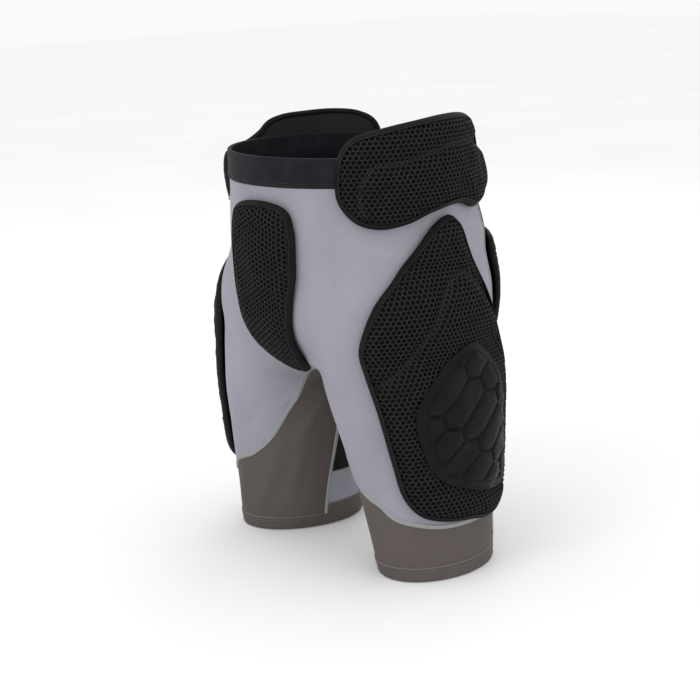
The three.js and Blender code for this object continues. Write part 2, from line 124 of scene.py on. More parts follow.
RAY_STEP = 8.0                    # a ray's steps until it is outside the body
RAY_REACH = 200
RAY_HALVINGS = 18                 # and how often the last step is halved
GRADIENT_STEP = 0.5


def along(table, z):
    """Smooth interpolation of a [height, value] table."""
    knots = np.array(sorted(table), float)
    x, v = knots.T
    last = len(x) - 1
    before, after = np.maximum(np.arange(last + 1) - 1, 0), np.minimum(np.arange(last + 1) + 1, last)
    slope = (v[after] - v[before]) / (x[after] - x[before])
    z = np.clip(z, x[0], x[-1])
    i = np.clip(np.searchsorted(x, z, "right") - 1, 0, last - 1)
    step = x[i + 1] - x[i]
    t = (z - x[i]) / step
    rise = t * t * (3 - 2 * t)
    bend = step * (slope[i] * t * (1 - t) ** 2 - slope[i + 1] * t * t * (1 - t))
    return v[i] * (1 - rise) + v[i + 1] * rise + bend


def ramp(x, soft):
    """0 below zero and x above it, rounded over a soft stretch on both sides."""
    return np.where(np.abs(x) < soft, (x + soft) ** 2 / (4 * soft), np.maximum(x, 0))


def field(p):
    """Negative inside the body, about one unit a millimetre near its surface."""
    x, y, z = p[..., 0], p[..., 1], p[..., 2]
    down = np.maximum(0, SEAT_Z - z) / SEAT_DEPTH
    across = x / along(HIP_A, z)
    deep = (y - along(HIP_C, z)) / along(HIP_B, z)
    hips = HIP_SCALE * (np.sqrt(across ** 2 + deep ** 2 + down ** 2) - 1)
    turn = TOE_OUT * np.minimum(ramp(SEAT_Z - z, TOE_OUT_ONSET) / TOE_OUT_DROP, 1)
    dx, dy = np.abs(x) - along(LEG_X, z), y - along(LEG_Y, z)
    u = (dx * np.cos(turn) + dy * np.sin(turn)) / along(LEG_A, z)
    w = (dy * np.cos(turn) - dx * np.sin(turn)) / along(LEG_B, z)
    leg = LEG_SCALE * (np.hypot(u, w) - 1) + ramp(z - LEG_FADE, LEG_FADE_ONSET)
    mix = np.clip(0.5 + 0.5 * (leg - hips) / CROTCH_BLEND, 0, 1)
    return leg + (hips - leg) * mix - CROTCH_BLEND * mix * (1 - mix)


def gradient(p):
    steps = np.eye(3) * GRADIENT_STEP
    return np.stack([field(p + s) - field(p - s) for s in steps], -1) / (2 * GRADIENT_STEP)


def unit(v):
    return v / np.maximum(np.linalg.norm(v, axis=-1, keepdims=True), 1e-9)


def normals_at(p):
    return unit(gradient(p))


def surface(origin, direction):
    """Where rays from inside the body leave it."""
    reach = np.arange(RAY_STEP, RAY_REACH, RAY_STEP)
    inside = np.array([field(origin + r * direction) < 0 for r in reach])
    first = np.where(inside.all(0), len(reach) - 1, inside.argmin(0))
    far = reach[first]
    near = far - RAY_STEP
    for _ in range(RAY_HALVINGS):
        middle = (near + far) / 2
        within = field(origin + middle[..., None] * direction) < 0
        near, far = np.where(within, middle, near), np.where(within, far, middle)
    return origin + ((near + far) / 2)[..., None] * direction


def axis_x(z):
    """The axis inside the left leg and hip, slanting outward as it goes down."""
    return AXIS_X - AXIS_SLANT * (z - AXIS_Z)


def level_ray(axis):
    """Level rays from an axis inside the body: degrees round from the front, and a height."""
    def ray(degrees, z):
        a, z = np.broadcast_arrays(np.radians(degrees), np.asarray(z, float))
        zero = np.zeros_like(z)
        return np.stack([axis(z), zero, z], -1), np.stack([np.sin(a), -np.cos(a), zero], -1)
    return ray


side_ray, waist_ray = level_ray(axis_x), level_ray(np.zeros_like)


def strip_ray(way):
    """Rays of the centre strip, on the front (-1) or the back (+1): degrees down from level, and x."""
    def ray(degrees, x):
        a, x = np.broadcast_arrays(np.radians(degrees), np.asarray(x, float))
        zero = np.zeros_like(x)
        return np.stack([x, zero, zero + STRIP_EYE], -1), np.stack([zero, way * np.cos(a), -np.sin(a)], -1)
    return ray


def turn_of(p):
    """Degrees round from the front about the leg's axis, from -90 at the inner side to 270."""
    degrees = np.degrees(np.arctan2(p[..., 0] - axis_x(p[..., 2]), -p[..., 1]))
    return np.where(degrees < -90, degrees + 360, degrees)


# ---------- folds in the knit ----------

# [degrees, height] of a fold's two ends, its width and its height
CROTCH_FOLDS = [
    [[-62, -214], [-22, -196], 5, 1.6], [[-66, -222], [-30, -226], 5, -1.3],
    [[-64, -232], [-34, -262], 6, 1.4], [[-80, -246], [-50, -300], 7, 1.2],
    [[250, -226], [215, -212], 7, 1.4], [[255, -240], [225, -262], 8, 1.2],
]
FOLDS = {
    "left": CROTCH_FOLDS + [
        [[30, -84], [62, -98], 8, 1.1], [[24, -100], [48, -120], 9, -0.9], [[128, -66], [152, -84], 6, 1.2],
        [[0, -120], [-24, -170], 11, 0.9], [[10, -240], [8, -320], 9, 0.8], [[30, -362], [38, -388], 7, 0.9],
        [[-4, -338], [4, -388], 8, 0.8], [[80, -360], [100, -388], 9, 0.7]],
    "right": CROTCH_FOLDS + [
        [[26, -92], [58, -88], 8, 1.0], [[14, -150], [-20, -190], 10, 0.9], [[2, -230], [14, -300], 10, 0.9],
        [[-20, -262], [4, -296], 8, -0.8], [[-30, -320], [-10, -380], 9, 1.1],
        [[8, -340], [16, -386], 9, 1.0], [[-58, -300], [-44, -370], 10, 0.9]],
}
DEGREE = 1.35                     # millimetres to a degree round the leg, near enough for folds
FOLD_SCALE = 1.9                  # how much more the folds stand out than their listed heights


def segment_distance(q, a, b):
    """Distance from points to one straight stretch, and how far along it they are, 0 to 1."""
    d = b - a
    t = np.clip(((q - a) @ d) / max(d @ d, 1e-9), 0, 1)
    return np.linalg.norm(q - a - t[..., None] * d, axis=-1), t


def folds(p, side):
    """Lift of the knit off the body at points of the left half, in millimetres."""
    turn, z = turn_of(p), p[..., 2]
    q = np.stack([turn * DEGREE, z], -1)
    lift = 0.25 * np.sin(z / 23 + turn / 31) + 0.2 * np.sin(z / 11 - turn / 17 + 1)
    for start, end, width, height in FOLDS[side]:
        a, b = (np.array([c[0] * DEGREE, c[1]]) for c in (start, end))
        distance, t = segment_distance(q, a, b)
        ridge = np.exp(-(distance / width) ** 2) * np.sin(math.pi * (0.15 + 0.7 * t))
        lift = lift + FOLD_SCALE * height * ridge
    fade = np.clip((BAND_BOTTOM - z) / 14, 0, 1) * np.clip((z - HEM_BOTTOM) / 20, 0, 1)
    return lift * fade


# ---------- meshes ----------

def mesh_object(name, points, faces, finish):
    """A mesh object from points in millimetres and arrays of faces."""
    faces = [f for f in (faces if isinstance(faces, list) else [faces]) if len(f)]
    loops = np.concatenate([f.ravel() for f in faces])
    sizes = np.concatenate([np.full(len(f), f.shape[1]) for f in faces])
    mesh = bpy.data.meshes.new(name)
    mesh.vertices.add(len(points))
    mesh.vertices.foreach_set("co", (np.asarray(points) * MM).astype(np.float32).ravel())
    mesh.loops.add(len(loops))
    mesh.loops.foreach_set("vertex_index", loops.astype(np.int32))
    mesh.polygons.add(len(sizes))
    starts = np.concatenate([[0], np.cumsum(sizes)[:-1]])
    mesh.polygons.foreach_set("loop_start", starts.astype(np.int32))
    mesh.polygons.foreach_set("use_smooth", np.full(len(sizes), True))
    mesh.update(calc_edges=True)
    mesh.validate()
    mesh.materials.append(finish)
    obj = bpy.data.objects.new(name, mesh)
    bpy.context.scene.collection.objects.link(obj)
    return obj


def mirrored(points, faces):
    flipped = points * [-1, 1, 1]
    many = faces if isinstance(faces, list) else [faces]
    return flipped, [f[:, ::-1] for f in many]


def triangles_of(quads):
    return np.concatenate([quads[:, [0, 1, 2]], quads[:, [0, 2, 3]]])


def welded(points, faces):
    """Points that coincide become one, and faces that lose a corner go."""
    keys = np.round(points * 1000).astype(np.int64)
    _, first, back = np.unique(keys, axis=0, return_index=True, return_inverse=True)
    faces = back.ravel()[faces]
    ordered = np.sort(faces, 1)
    return points[first], faces[(np.diff(ordered, axis=1) > 0).all(1)]


def compact(points, faces):
    used, back = np.unique(faces, return_inverse=True)
    return points[used], back.reshape(faces.shape)


def rim_edges(triangles):
    """The directed edges that only one triangle has."""
    edges = np.concatenate([triangles[:, [0, 1]], triangles[:, [1, 2]], triangles[:, [2, 0]]])
    size = edges.max() + 1
    forward, backward = edges[:, 0] * size + edges[:, 1], edges[:, 1] * size + edges[:, 0]
    return edges[~np.isin(forward, backward)]


def thick_sheet(triangles, outer, inner):
    """A closed sheet between two layers of the same triangles."""
    n = len(outer)
    rim = rim_edges(triangles)
    walls = np.stack([rim[:, 1], rim[:, 0], rim[:, 0] + n, rim[:, 1] + n], 1)
    return np.concatenate([outer, inner]), [triangles, triangles[:, ::-1] + n, walls]


def clip(points, triangles, values):
    """The part of a triangle mesh whose values are below zero, cut along their zero line."""
    values = np.where(np.abs(values) < 1e-6, 1e-6, values)
    inside = values < 0
    count = inside[triangles].sum(1)
    kept = [triangles[count == 3]]
    cut = []
    for odd_inside in (True, False):
        some = triangles[count == (1 if odd_inside else 2)]
        column = (inside[some] == odd_inside).argmax(1)
        rows = np.arange(len(some))
        a, b, c = (some[rows, (column + k) % 3] for k in range(3))
        cut.append((odd_inside, a, b, c))
    pairs = np.concatenate([np.sort(np.stack(p, 1), 1) for _, a, b, c in cut for p in ((a, b), (a, c))])
    unique, back = np.unique(pairs, axis=0, return_inverse=True)
    back = back.ravel() + len(points)
    t = values[unique[:, 0]] / (values[unique[:, 0]] - values[unique[:, 1]])
    made = points[unique[:, 0]] + t[:, None] * (points[unique[:, 1]] - points[unique[:, 0]])
    place = 0
    for odd_inside, a, b, c in cut:
        ab, ac = back[place:place + len(a)], back[place + len(a):place + 2 * len(a)]
        place += 2 * len(a)
        if odd_inside:
            kept.append(np.stack([a, ab, ac], 1))
        else:
            kept += [np.stack([ab, b, c], 1), np.stack([ab, c, ac], 1)]
    return compact(np.concatenate([points, made]), np.concatenate(kept))


BODY_STEP = 3.0                   # spacing of the knit's points
BODY_SIDE, BODY_DEPTH = 160, (-135, 140)   # the box that holds the left half of the body
SETTLE_PASSES = 4                 # to bring them onto the surface
EVEN_PASSES = 6                   # and to even them out on it


def body_net(step):
    """The left half of the body's surface as even triangles, from the grid cells that it crosses."""
    spans = [(-4 * step, BODY_SIDE), BODY_DEPTH, (HEM_BOTTOM - 5 * step, BAND_BOTTOM + 8 * step)]
    axes = [np.arange(*span, step) for span in spans]
    grid = np.stack(np.meshgrid(*axes, indexing="ij"), -1)
    inside = field(grid) < 0
    nx, ny, nz = (n - 1 for n in inside.shape)
    corners = [inside[i:nx + i, j:ny + j, k:nz + k] for i in (0, 1) for j in (0, 1) for k in (0, 1)]
    total = sum(c.astype(int) for c in corners)
    active = (total > 0) & (total < 8)
    number = np.full(active.shape, -1)
    number[active] = np.arange(active.sum())
    points = grid[:-1, :-1, :-1][active] + step / 2
    quads = []
    for axis in range(3):
        order = (axis, (axis + 1) % 3, (axis + 2) % 3)
        s, ids = np.transpose(inside, order), np.transpose(number, order)
        i, j, k = np.nonzero(s[:-1, 1:-1, 1:-1] != s[1:, 1:-1, 1:-1])
        quad = np.stack([ids[i, j, k], ids[i, j + 1, k], ids[i, j + 1, k + 1], ids[i, j, k + 1]], 1)
        outward = s[i, j + 1, k + 1]
        quads.append(np.where(outward[:, None], quad, quad[:, ::-1]))
    quads = np.concatenate(quads)

    def settle(p):
        g = gradient(p)
        return p - (field(p) / (g ** 2).sum(-1))[:, None] * g

    for _ in range(SETTLE_PASSES):
        points = settle(points)
    ends = np.concatenate([quads[:, [k, (k + 1) % 4]] for k in range(4)])
    ends = np.concatenate([ends, ends[:, ::-1]])
    near = np.bincount(ends[:, 0], minlength=len(points))
    for _ in range(EVEN_PASSES):
        mean = np.stack([np.bincount(ends[:, 0], points[ends[:, 1], k], len(points)) for k in range(3)], 1)
        points = settle((points + mean / near[:, None]) / 2)
    return points, triangles_of(quads)


# ---------- flat charts of the surface ----------

CHART_TURN = 2.0                  # degrees between the rays of a chart's row
CHART_ROW = 4.0                   # millimetres between its rows
CURVE_SPACING = 1.5               # between the points of an outline or a channel
CURVE_STEPS = 24                  # from one corner of a curve to the next, before it is spaced evenly
BATCH = 3000                      # points measured against a curve at a time
SNAP = 0.35                       # corners this near a curve move onto it, as a fraction of their spacing


class Chart:
    """Flat millimetre coordinates on a stretch of the body: arc length across, and the ray's own b."""

    def __init__(self, ray, a_span, b_span):
        self.ray = ray
        self.a = np.arange(a_span[0], a_span[1] + CHART_TURN, CHART_TURN)
        self.b = np.arange(b_span[0], b_span[1] + CHART_ROW, CHART_ROW)
        a, b = np.meshgrid(self.a, self.b)
        p = surface(*ray(a, b))
        arc = np.cumsum(np.linalg.norm(np.diff(p, axis=1), axis=2), 1)
        arc = np.concatenate([np.zeros((len(self.b), 1)), arc], 1)
        self.arc = arc - arc[:, [len(self.a) // 2]]

    def _across(self, x, b, source, target):
        x, b = np.asarray(x, float), np.asarray(b, float)
        row = np.clip((b - self.b[0]) / CHART_ROW, 0, len(self.b) - 1.001)
        low = row.astype(int)
        out = np.zeros_like(x)
        for i in np.unique(low):
            pick = low == i
            ends = [np.interp(x[pick], source(j), target(j)) for j in (i, i + 1)]
            f = row[pick] - i
            out[pick] = ends[0] * (1 - f) + ends[1] * f
        return out

    def flatten(self, a, b):
        across = self._across(a, b, lambda j: self.a, lambda j: self.arc[j])
        return np.stack([across, np.asarray(b, float)], -1)

    def place(self, q, lift):
        """Points on the body at flat places, lifted off it along its normal."""
        a = self._across(q[:, 0], q[:, 1], lambda j: self.arc[j], lambda j: self.a)
        p = surface(*self.ray(a, q[:, 1]))
        return p + normals_at(p) * np.broadcast_to(lift, len(p))[:, None]


def smooth_curve(corners, closed, spacing):
    """A centripetal Catmull-Rom curve through corners, as evenly spaced points."""
    c = np.asarray(corners, float)
    if closed:
        c = np.concatenate([c[-1:], c, c[:2]])
    else:
        c = np.concatenate([[2 * c[0] - c[1]], c, [2 * c[-1] - c[-2]]])
    t = np.concatenate([[0], np.cumsum(np.linalg.norm(np.diff(c, axis=0), axis=1) ** 0.5)])
    out = []
    for i in range(1, len(c) - 2):
        k0, k1, k2, k3 = t[i - 1:i + 3]
        p0, p1, p2, p3 = c[i - 1:i + 3]
        m1 = (k2 - k1) * ((p1 - p0) / (k1 - k0) - (p2 - p0) / (k2 - k0) + (p2 - p1) / (k2 - k1))
        m2 = (k2 - k1) * ((p2 - p1) / (k2 - k1) - (p3 - p1) / (k3 - k1) + (p3 - p2) / (k3 - k2))
        s = np.linspace(0, 1, CURVE_STEPS, endpoint=False)[:, None]
        out.append((2 * s ** 3 - 3 * s ** 2 + 1) * p1 + (s ** 3 - 2 * s ** 2 + s) * m1
                   + (3 * s ** 2 - 2 * s ** 3) * p2 + (s ** 3 - s ** 2) * m2)
    line = np.concatenate(out + [c[-2][None]])
    return respaced(line, spacing, closed)


def lengths(line):
    """How far along a line each of its points is."""
    return np.concatenate([[0], np.cumsum(np.linalg.norm(np.diff(line, axis=0), axis=1))])


def respaced(line, spacing, closed):
    length = lengths(line)
    n = max(2, round(length[-1] / spacing))
    at = np.linspace(0, length[-1], n + 1)[:n + (not closed)]
    return np.stack([np.interp(at, length, line[:, k]) for k in range(line.shape[1])], 1)


def nearest_on(line, q, closed):
    """Distance from points to a polyline, and the nearest points on it."""
    a = line if closed else line[:-1]
    b = np.roll(line, -1, 0) if closed else line[1:]
    d = b - a
    distance, spot = np.empty(len(q)), np.empty((len(q), 2))
    for start in range(0, len(q), BATCH):
        part = q[start:start + BATCH]
        t = np.clip(((part[:, None] - a) * d).sum(-1) / (d * d).sum(-1), 0, 1)
        on = a + t[..., None] * d
        r = np.linalg.norm(part[:, None] - on, axis=-1)
        best = r.argmin(1)
        rows = np.arange(len(part))
        distance[start:start + BATCH], spot[start:start + BATCH] = r[rows, best], on[rows, best]
    return distance, spot


def staggered(low, high, step):
    """Rows of even points, every other row moved half a step along: x and y."""
    rows = np.arange(low[1], high[1], step * math.sqrt(0.75))
    x, y = np.meshgrid(np.arange(low[0], high[0], step), rows)
    return x + (np.arange(len(rows)) % 2)[:, None] * step / 2, y


class Outline:
    """A smooth closed curve in flat millimetres."""

    def __init__(self, corners):
        self.line = smooth_curve(corners, True, CURVE_SPACING)
        ahead, behind = np.roll(self.line, -1, 0), np.roll(self.line, 1, 0)
        area = (self.line[:, 0] * ahead[:, 1] - ahead[:, 0] * self.line[:, 1]).sum()
        if area < 0:
            self.line = self.line[::-1]
            ahead, behind = np.roll(self.line, -1, 0), np.roll(self.line, 1, 0)
        along_it = unit(ahead - behind)
        self.inward = np.stack([-along_it[:, 1], along_it[:, 0]], 1)

    def signed(self, q):
        """Distance to the curve, negative inside, and the nearest points on it."""
        distance, spot = nearest_on(self.line, q, True)
        a, b = self.line, np.roll(self.line, -1, 0)
        inside = np.zeros(len(q), bool)
        for (ax, ay), (bx, by) in zip(a, b):
            crosses = (ay > q[:, 1]) != (by > q[:, 1])
            if crosses.any():
                inside ^= crosses & (q[:, 0] < (bx - ax) * (q[:, 1] - ay) / (by - ay + 1e-12) + ax)
        return np.where(inside, -distance, distance), spot

    def grid(self, step):
        """Even triangles that fill the curve, with their edge on it."""
        x, y = staggered(self.line.min(0) - 2 * step, self.line.max(0) + 2 * step, step)
        q = np.stack([x.ravel(), y.ravel()], 1)
        number = np.arange(len(q)).reshape(x.shape)
        faces = []
        for odd in (0, 1):
            a, b = number[odd:-1:2, :-1], number[odd:-1:2, 1:]
            c, d = number[odd + 1::2, :-1], number[odd + 1::2, 1:]
            c, d = c[:len(a)], d[:len(a)]
            cells = [(a, b, d), (a, d, c)] if odd else [(a, b, c), (b, d, c)]
            faces += [np.stack([part.ravel() for part in cell], 1) for cell in cells]
        return self.fitted(q, np.concatenate(faces), step * SNAP)

    def fitted(self, q, faces, snap):
        """Faces that reach inside the curve; corners outside it, or near it, are moved onto it."""
        signed, spot = self.signed(q)
        faces = faces[(signed[faces] < -snap).any(1)]
        moved = np.where((signed > -snap)[:, None], spot, q)
        return welded(*compact(moved, faces))


# ---------- materials ----------

def linear(colour):
    """An sRGB colour of 0 to 255 as the linear RGBA that a shader takes."""
    parts = [c / 255 for c in colour]
    return tuple(c / 12.92 if c <= 0.04045 else ((c + 0.055) / 1.055) ** 2.4 for c in parts) + (1.0,)


class Finish:
    """A material built round one Principled shader."""

    def __init__(self, name, roughness, specular=0.4, sheen=0.0, sheen_tint=(255, 255, 255)):
        self.material = bpy.data.materials.new(name)
        self.material.use_nodes = True
        self.tree = self.material.node_tree
        self.shader = self.tree.nodes["Principled BSDF"]
        self.shader.inputs["Roughness"].default_value = roughness
        self.shader.inputs["Specular IOR Level"].default_value = specular
        self.shader.inputs["Sheen Weight"].default_value = sheen
        self.shader.inputs["Sheen Roughness"].default_value = 0.4
        self.shader.inputs["Sheen Tint"].default_value = linear(sheen_tint)
        self.where = self.tree.nodes.new("ShaderNodeTexCoord").outputs["Object"]

    def node(self, kind, inputs=None, **settings):
        made = self.tree.nodes.new(kind)
        for key, value in settings.items():
            setattr(made, key, value)
        for key, value in (inputs or {}).items():
            if isinstance(value, bpy.types.NodeSocket):
                self.tree.links.new(value, made.inputs[key])
            else:
                made.inputs[key].default_value = value
        return made

    def noise(self, scale, detail=3.0, stretch=(1, 1, 1)):
        mapped = self.node("ShaderNodeMapping", {"Vector": self.where, "Scale": stretch}).outputs[0]
        inputs = {"Vector": mapped, "Scale": scale, "Detail": detail}
        return self.node("ShaderNodeTexNoise", inputs).outputs[0]

    def bands(self, pitch, direction, distortion=0.0):
        """Ridges with a pitch in millimetres."""
        scale = 2 * math.pi / 20 / (pitch * MM)
        inputs = {"Vector": self.where, "Scale": scale, "Distortion": distortion}
        return self.node("ShaderNodeTexWave", inputs, bands_direction=direction).outputs[1]

    def math(self, operation, a, b):
        return self.node("ShaderNodeMath", {0: a, 1: b}, operation=operation).outputs[0]

    def tones(self, amount, dark, light, low=0.3, high=0.7):
        """Base colour running between two colours as amount goes from low to high."""
        ramp = self.node("ShaderNodeValToRGB", {"Fac": amount})
        ramp.color_ramp.elements[0].position, ramp.color_ramp.elements[1].position = low, high
        ramp.color_ramp.elements[0].color, ramp.color_ramp.elements[1].color = linear(dark), linear(light)
        self.tree.links.new(ramp.outputs[0], self.shader.inputs["Base Color"])
        return self

    def rough(self, amount, low, high):
        made = self.node("ShaderNodeMapRange", {"Value": amount, "To Min": low, "To Max": high})
        self.tree.links.new(made.outputs[0], self.shader.inputs["Roughness"])
        return self

    def bump(self, height, strength, distance):
        """Bump whose height of 1 stands a distance in millimetres proud."""
        inputs = {"Height": height, "Strength": strength, "Distance": distance * MM}
        made = self.node("ShaderNodeBump", inputs)
        self.tree.links.new(made.outputs[0], self.shader.inputs["Normal"])
        return self


def shades(colour, spread):
    return [max(0, c - spread) for c in colour], [min(255, c + spread) for c in colour]


def knit(name, colour, spread=5, sheen=0.25, pitch=0.75):
    """Fine warp knit: courses and slanted wales, faint mottling and a soft sheen."""
    finish = Finish(name, 0.7, 0.12, sheen, colour)
    courses, wales = finish.bands(pitch, "Z", 0.6), finish.bands(pitch * 1.3, "DIAGONAL", 0.6)
    loops = finish.math("MULTIPLY", courses, wales)
    cloud = finish.noise(22, 4, (1, 1, 0.5))
    grain = finish.noise(900, 2)
    mottle = finish.math("ADD", finish.math("MULTIPLY", cloud, 0.7), finish.math("MULTIPLY", grain, 0.3))
    finish.tones(mottle, *shades(colour, spread), 0.35, 0.65)
    finish.rough(cloud, 0.62, 0.8)
    height = finish.math("ADD", loops, finish.math("MULTIPLY", grain, 0.5))
    return finish.bump(height, 0.35, 0.12).material


def strands(name, colour):
    """Twisted yarn of the spacer mesh."""
    finish = Finish(name, 0.6, 0.1, 0.05, colour)
    yarn = finish.bands(0.5, "DIAGONAL", 2.5)
    grain = finish.noise(700, 3)
    finish.tones(grain, *shades(colour, 9))
    finish.rough(grain, 0.5, 0.75)
    return finish.bump(finish.math("ADD", yarn, grain), 0.5, 0.12).material


def woven(name, colour, pitch, sheen=0.15):
    """Flat woven or ribbed tape."""
    finish = Finish(name, 0.65, 0.12, sheen, colour)
    ribs = finish.math("MULTIPLY", finish.bands(pitch, "Z", 0.3), finish.bands(pitch, "DIAGONAL", 0.3))
    cloud = finish.noise(60, 4)
    finish.tones(cloud, *shades(colour, 5), 0.35, 0.65)
    finish.rough(cloud, 0.55, 0.75)
    return finish.bump(finish.math("ADD", ribs, finish.noise(800, 2)), 0.4, 0.12).material


def moulded(name, colour):
    """Soft moulded plastic with a fine grain, rubbed a little smoother in patches."""
    finish = Finish(name, 0.5, 0.12)
    cloud, grain = finish.noise(35, 4), finish.noise(1500, 2)
    finish.tones(cloud, *shades(colour, 4), 0.35, 0.65)
    finish.rough(cloud, 0.42, 0.6)
    return finish.bump(grain, 0.35, 0.1).material


def thread(name, colour):
    finish = Finish(name, 0.6, 0.4, 0.2, colour)
    grain = finish.noise(1200, 2)
    finish.tones(grain, *shades(colour, 8))
    return finish.bump(finish.bands(0.35, "DIAGONAL", 1.0), 0.4, 0.08).material


def studio_floor(name):
    finish = Finish(name, 0.9, 0.1)
    finish.tones(finish.noise(3, 2), (251, 251, 252), (254, 254, 254))
    return finish.material


GREY = knit("grey_knit", (151, 150, 160), 5, 0.1)
TAUPE = knit("taupe_knit", (93, 86, 83), 4, 0.1)
BLACK = knit("black_knit", (22, 22, 23), 2, 0.04)
BAND = woven("waistband_knit", (31, 27, 33), 1.1, 0.04)
ELASTIC = woven("waistband_elastic", (84, 80, 90), 1.8)
MESH = strands("spacer_mesh", (36, 36, 35))
CORE = knit("pad_core", (8, 8, 8), 2, 0.0)
LINING = knit("pad_lining", (40, 40, 42), 2, 0.04, 0.6)
BINDING = woven("binding_tape", (17, 17, 19), 0.9, 0.03)
PLATE = moulded("moulded_plate", (15, 15, 17))
SEAM = thread("seam_thread", (158, 160, 162))
DARK_THREAD = thread("dark_thread", (44, 44, 46))
TAUPE_THREAD = thread("taupe_thread", (112, 105, 102))


# ---------- each side's pieces ----------------------

SIDES = {"left": 1, "right": -1}


def follow(piece, side):
    """Bakes a soft piece's transform into its mesh; the ends of the slanted crease are worked out for the
    side, but nothing bends across it.
    """
    start = CREASE_TOP.copy()
    end = start + CREASE_ACROSS * CREASE_WIDTH
    for point in (start, end):
        point.x *= SIDES[side]
    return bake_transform(piece)


def piece_for(side, name, points, faces, finish, slot):
    if side == "right":
        points, faces = mirrored(points, faces)
    obj = mesh_object(name, points, faces, finish)
    return obj


# ---------- knit panels ----------

def thigh_seam(turn):
    return along(THIGH_SEAM, turn)


def make_panels():
    points, triangles = body_net(BODY_STEP)
    points, triangles = clip(points, triangles, -points[:, 0])
    points, triangles = clip(points, triangles, points[:, 2] - (BAND_BOTTOM + 4))
    points, triangles = clip(points, triangles, HEM_BOTTOM - points[:, 2])

    def back(p):
        a = math.radians(SIDE_SEAM)
        return np.maximum(-((p[:, 0] - axis_x(p[:, 2])) * math.cos(a) + p[:, 1] * math.sin(a)), -p[:, 1])

    def part(*regions):
        p, t = points, triangles
        for region in regions:
            p, t = clip(p, t, region(p))
        return p, t

    front = lambda p: -back(p)
    above = lambda level: lambda p: level - p[:, 2]
    below = lambda level: lambda p: p[:, 2] - level
    over_seam = lambda p: thigh_seam(turn_of(p)) - p[:, 2]
    under_seam = lambda p: -over_seam(p)
    panels = {
        "front_panel": (part(front, over_seam), GREY, "grey_knit",
                        ["{}_front_panel", "{}_thigh_panel", "groin_gusset"]),
        "inner_leg_panel": (part(front, under_seam, above(HEM_TOP)), TAUPE, "taupe_knit",
                            ["{}_inner_leg_panel"]),
        "back_panel": (part(back, above(BACK_SEAM)), BLACK, "black_knit",
                       ["seat_panel", "{}_back_leg_panel"]),
        "lower_back_panel": (part(back, below(BACK_SEAM), above(CUFF_BACK)), GREY, "grey_knit",
                             ["{}_lower_back_panel"]),
    }
    for side in SIDES:
        for name, ((p, t), finish, slot, nodes) in panels.items():
            n = normals_at(p)
            lift = folds(p, side)[:, None]
            outer, inner = p + n * lift, p + n * (lift - FABRIC)
            obj = piece_for(side, f"{side}_{name}_fabric", *thick_sheet(t, outer, inner), finish, slot)
            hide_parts(*[node.format(side) for node in nodes])
            follow(obj, side)
        make_cuff(side, part, front, back, below)


def make_cuff(side, part, front, back, below):
    """The turned hem: two layers of knit, a little thicker than the panels, rounded at its lower edge."""
    (p, t), (more, others) = part(front, below(HEM_TOP)), part(back, below(CUFF_BACK))
    p, t = welded(np.concatenate([p, more]), np.concatenate([t, others + len(p)]))
    n = normals_at(p)
    roll = dome((p[:, 2] - HEM_BOTTOM) / HEM_ROLL)[:, None]
    outer = p + n * (folds(p, side)[:, None] + 0.55 * roll)
    inner = p - n * (1.0 + 0.9 * roll)
    obj = piece_for(side, f"{side}_hem_cuff_fabric", *thick_sheet(t, outer, inner), TAUPE, "taupe_knit")
    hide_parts(f"{side}_hem_cuff")
    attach(obj, f"{side}_leg")


# ---------- seams and stitches ----------

UPRIGHT_SEAM, LEVEL_SEAM = 3.6, 4.4   # widths of the flat seams
LACE_PITCH = 2.2                  # between the threads laced across them
TAPE_SINK = 0.5                   # how far a raised tape reaches into the knit
SEAM_HEIGHT = 0.75
LACE_THREAD, EDGE_THREAD = 0.33, 0.3  # radii of the seam's threads


def ribbon(path, up, width, height):
    """A flat raised tape along a path: points, faces."""
    ahead, behind = np.roll(path, -1, 0), np.roll(path, 1, 0)
    ahead[-1], behind[0] = path[-1], path[0]
    across = unit(np.cross(unit(ahead - behind), up))
    left = [(-1, -TAPE_SINK), (-1, height * 0.35), (-0.8, height * 0.85), (-0.3, height)]
    section = left + [(-x, z) for x, z in left[::-1]]
    rows = np.stack([path + across * (x * width / 2) + up * z for x, z in section], 1)
    return swept(rows, False)


def swept(rows, closed):
    """Faces round a stack of closed sections, rows[i] being one section."""
    count, sides = rows.shape[:2]
    number = np.arange(count * sides).reshape(count, sides)
    ahead = np.roll(number, -1, 0) if closed else number[1:]
    here = number if closed else number[:-1]
    corners = here, np.roll(here, -1, 1), np.roll(ahead, -1, 1), ahead
    faces = [np.stack([x.ravel() for x in corners], 1)]
    if not closed:
        faces += [number[:1, ::-1], number[-1:]]
    spokes = rows[0] - rows[0].mean(0)
    area = np.cross(spokes, np.roll(spokes, -1, 0)).sum(0)
    if area @ (rows[1].mean(0) - rows[0].mean(0)) < 0:
        faces = [f[:, ::-1] for f in faces]
    return rows.reshape(-1, 3), faces


def tubes(count, levels, sides):
    """Corner numbers of many short tubes, and the faces between their rings."""
    number = np.arange(count * levels * sides).reshape(count, levels, sides)
    a, d = number[:, :-1], number[:, 1:]
    corners = a, np.roll(a, -1, 2), np.roll(d, -1, 2), d
    return number, np.stack([x.ravel() for x in corners], 1)


THREAD_SIDES = 5
THREAD_RINGS = [(0.0, 0.3, 0.0), (0.2, 0.9, 0.75), (0.5, 1.0, 1.0), (0.8, 0.9, 0.75), (1.0, 0.3, 0.0)]


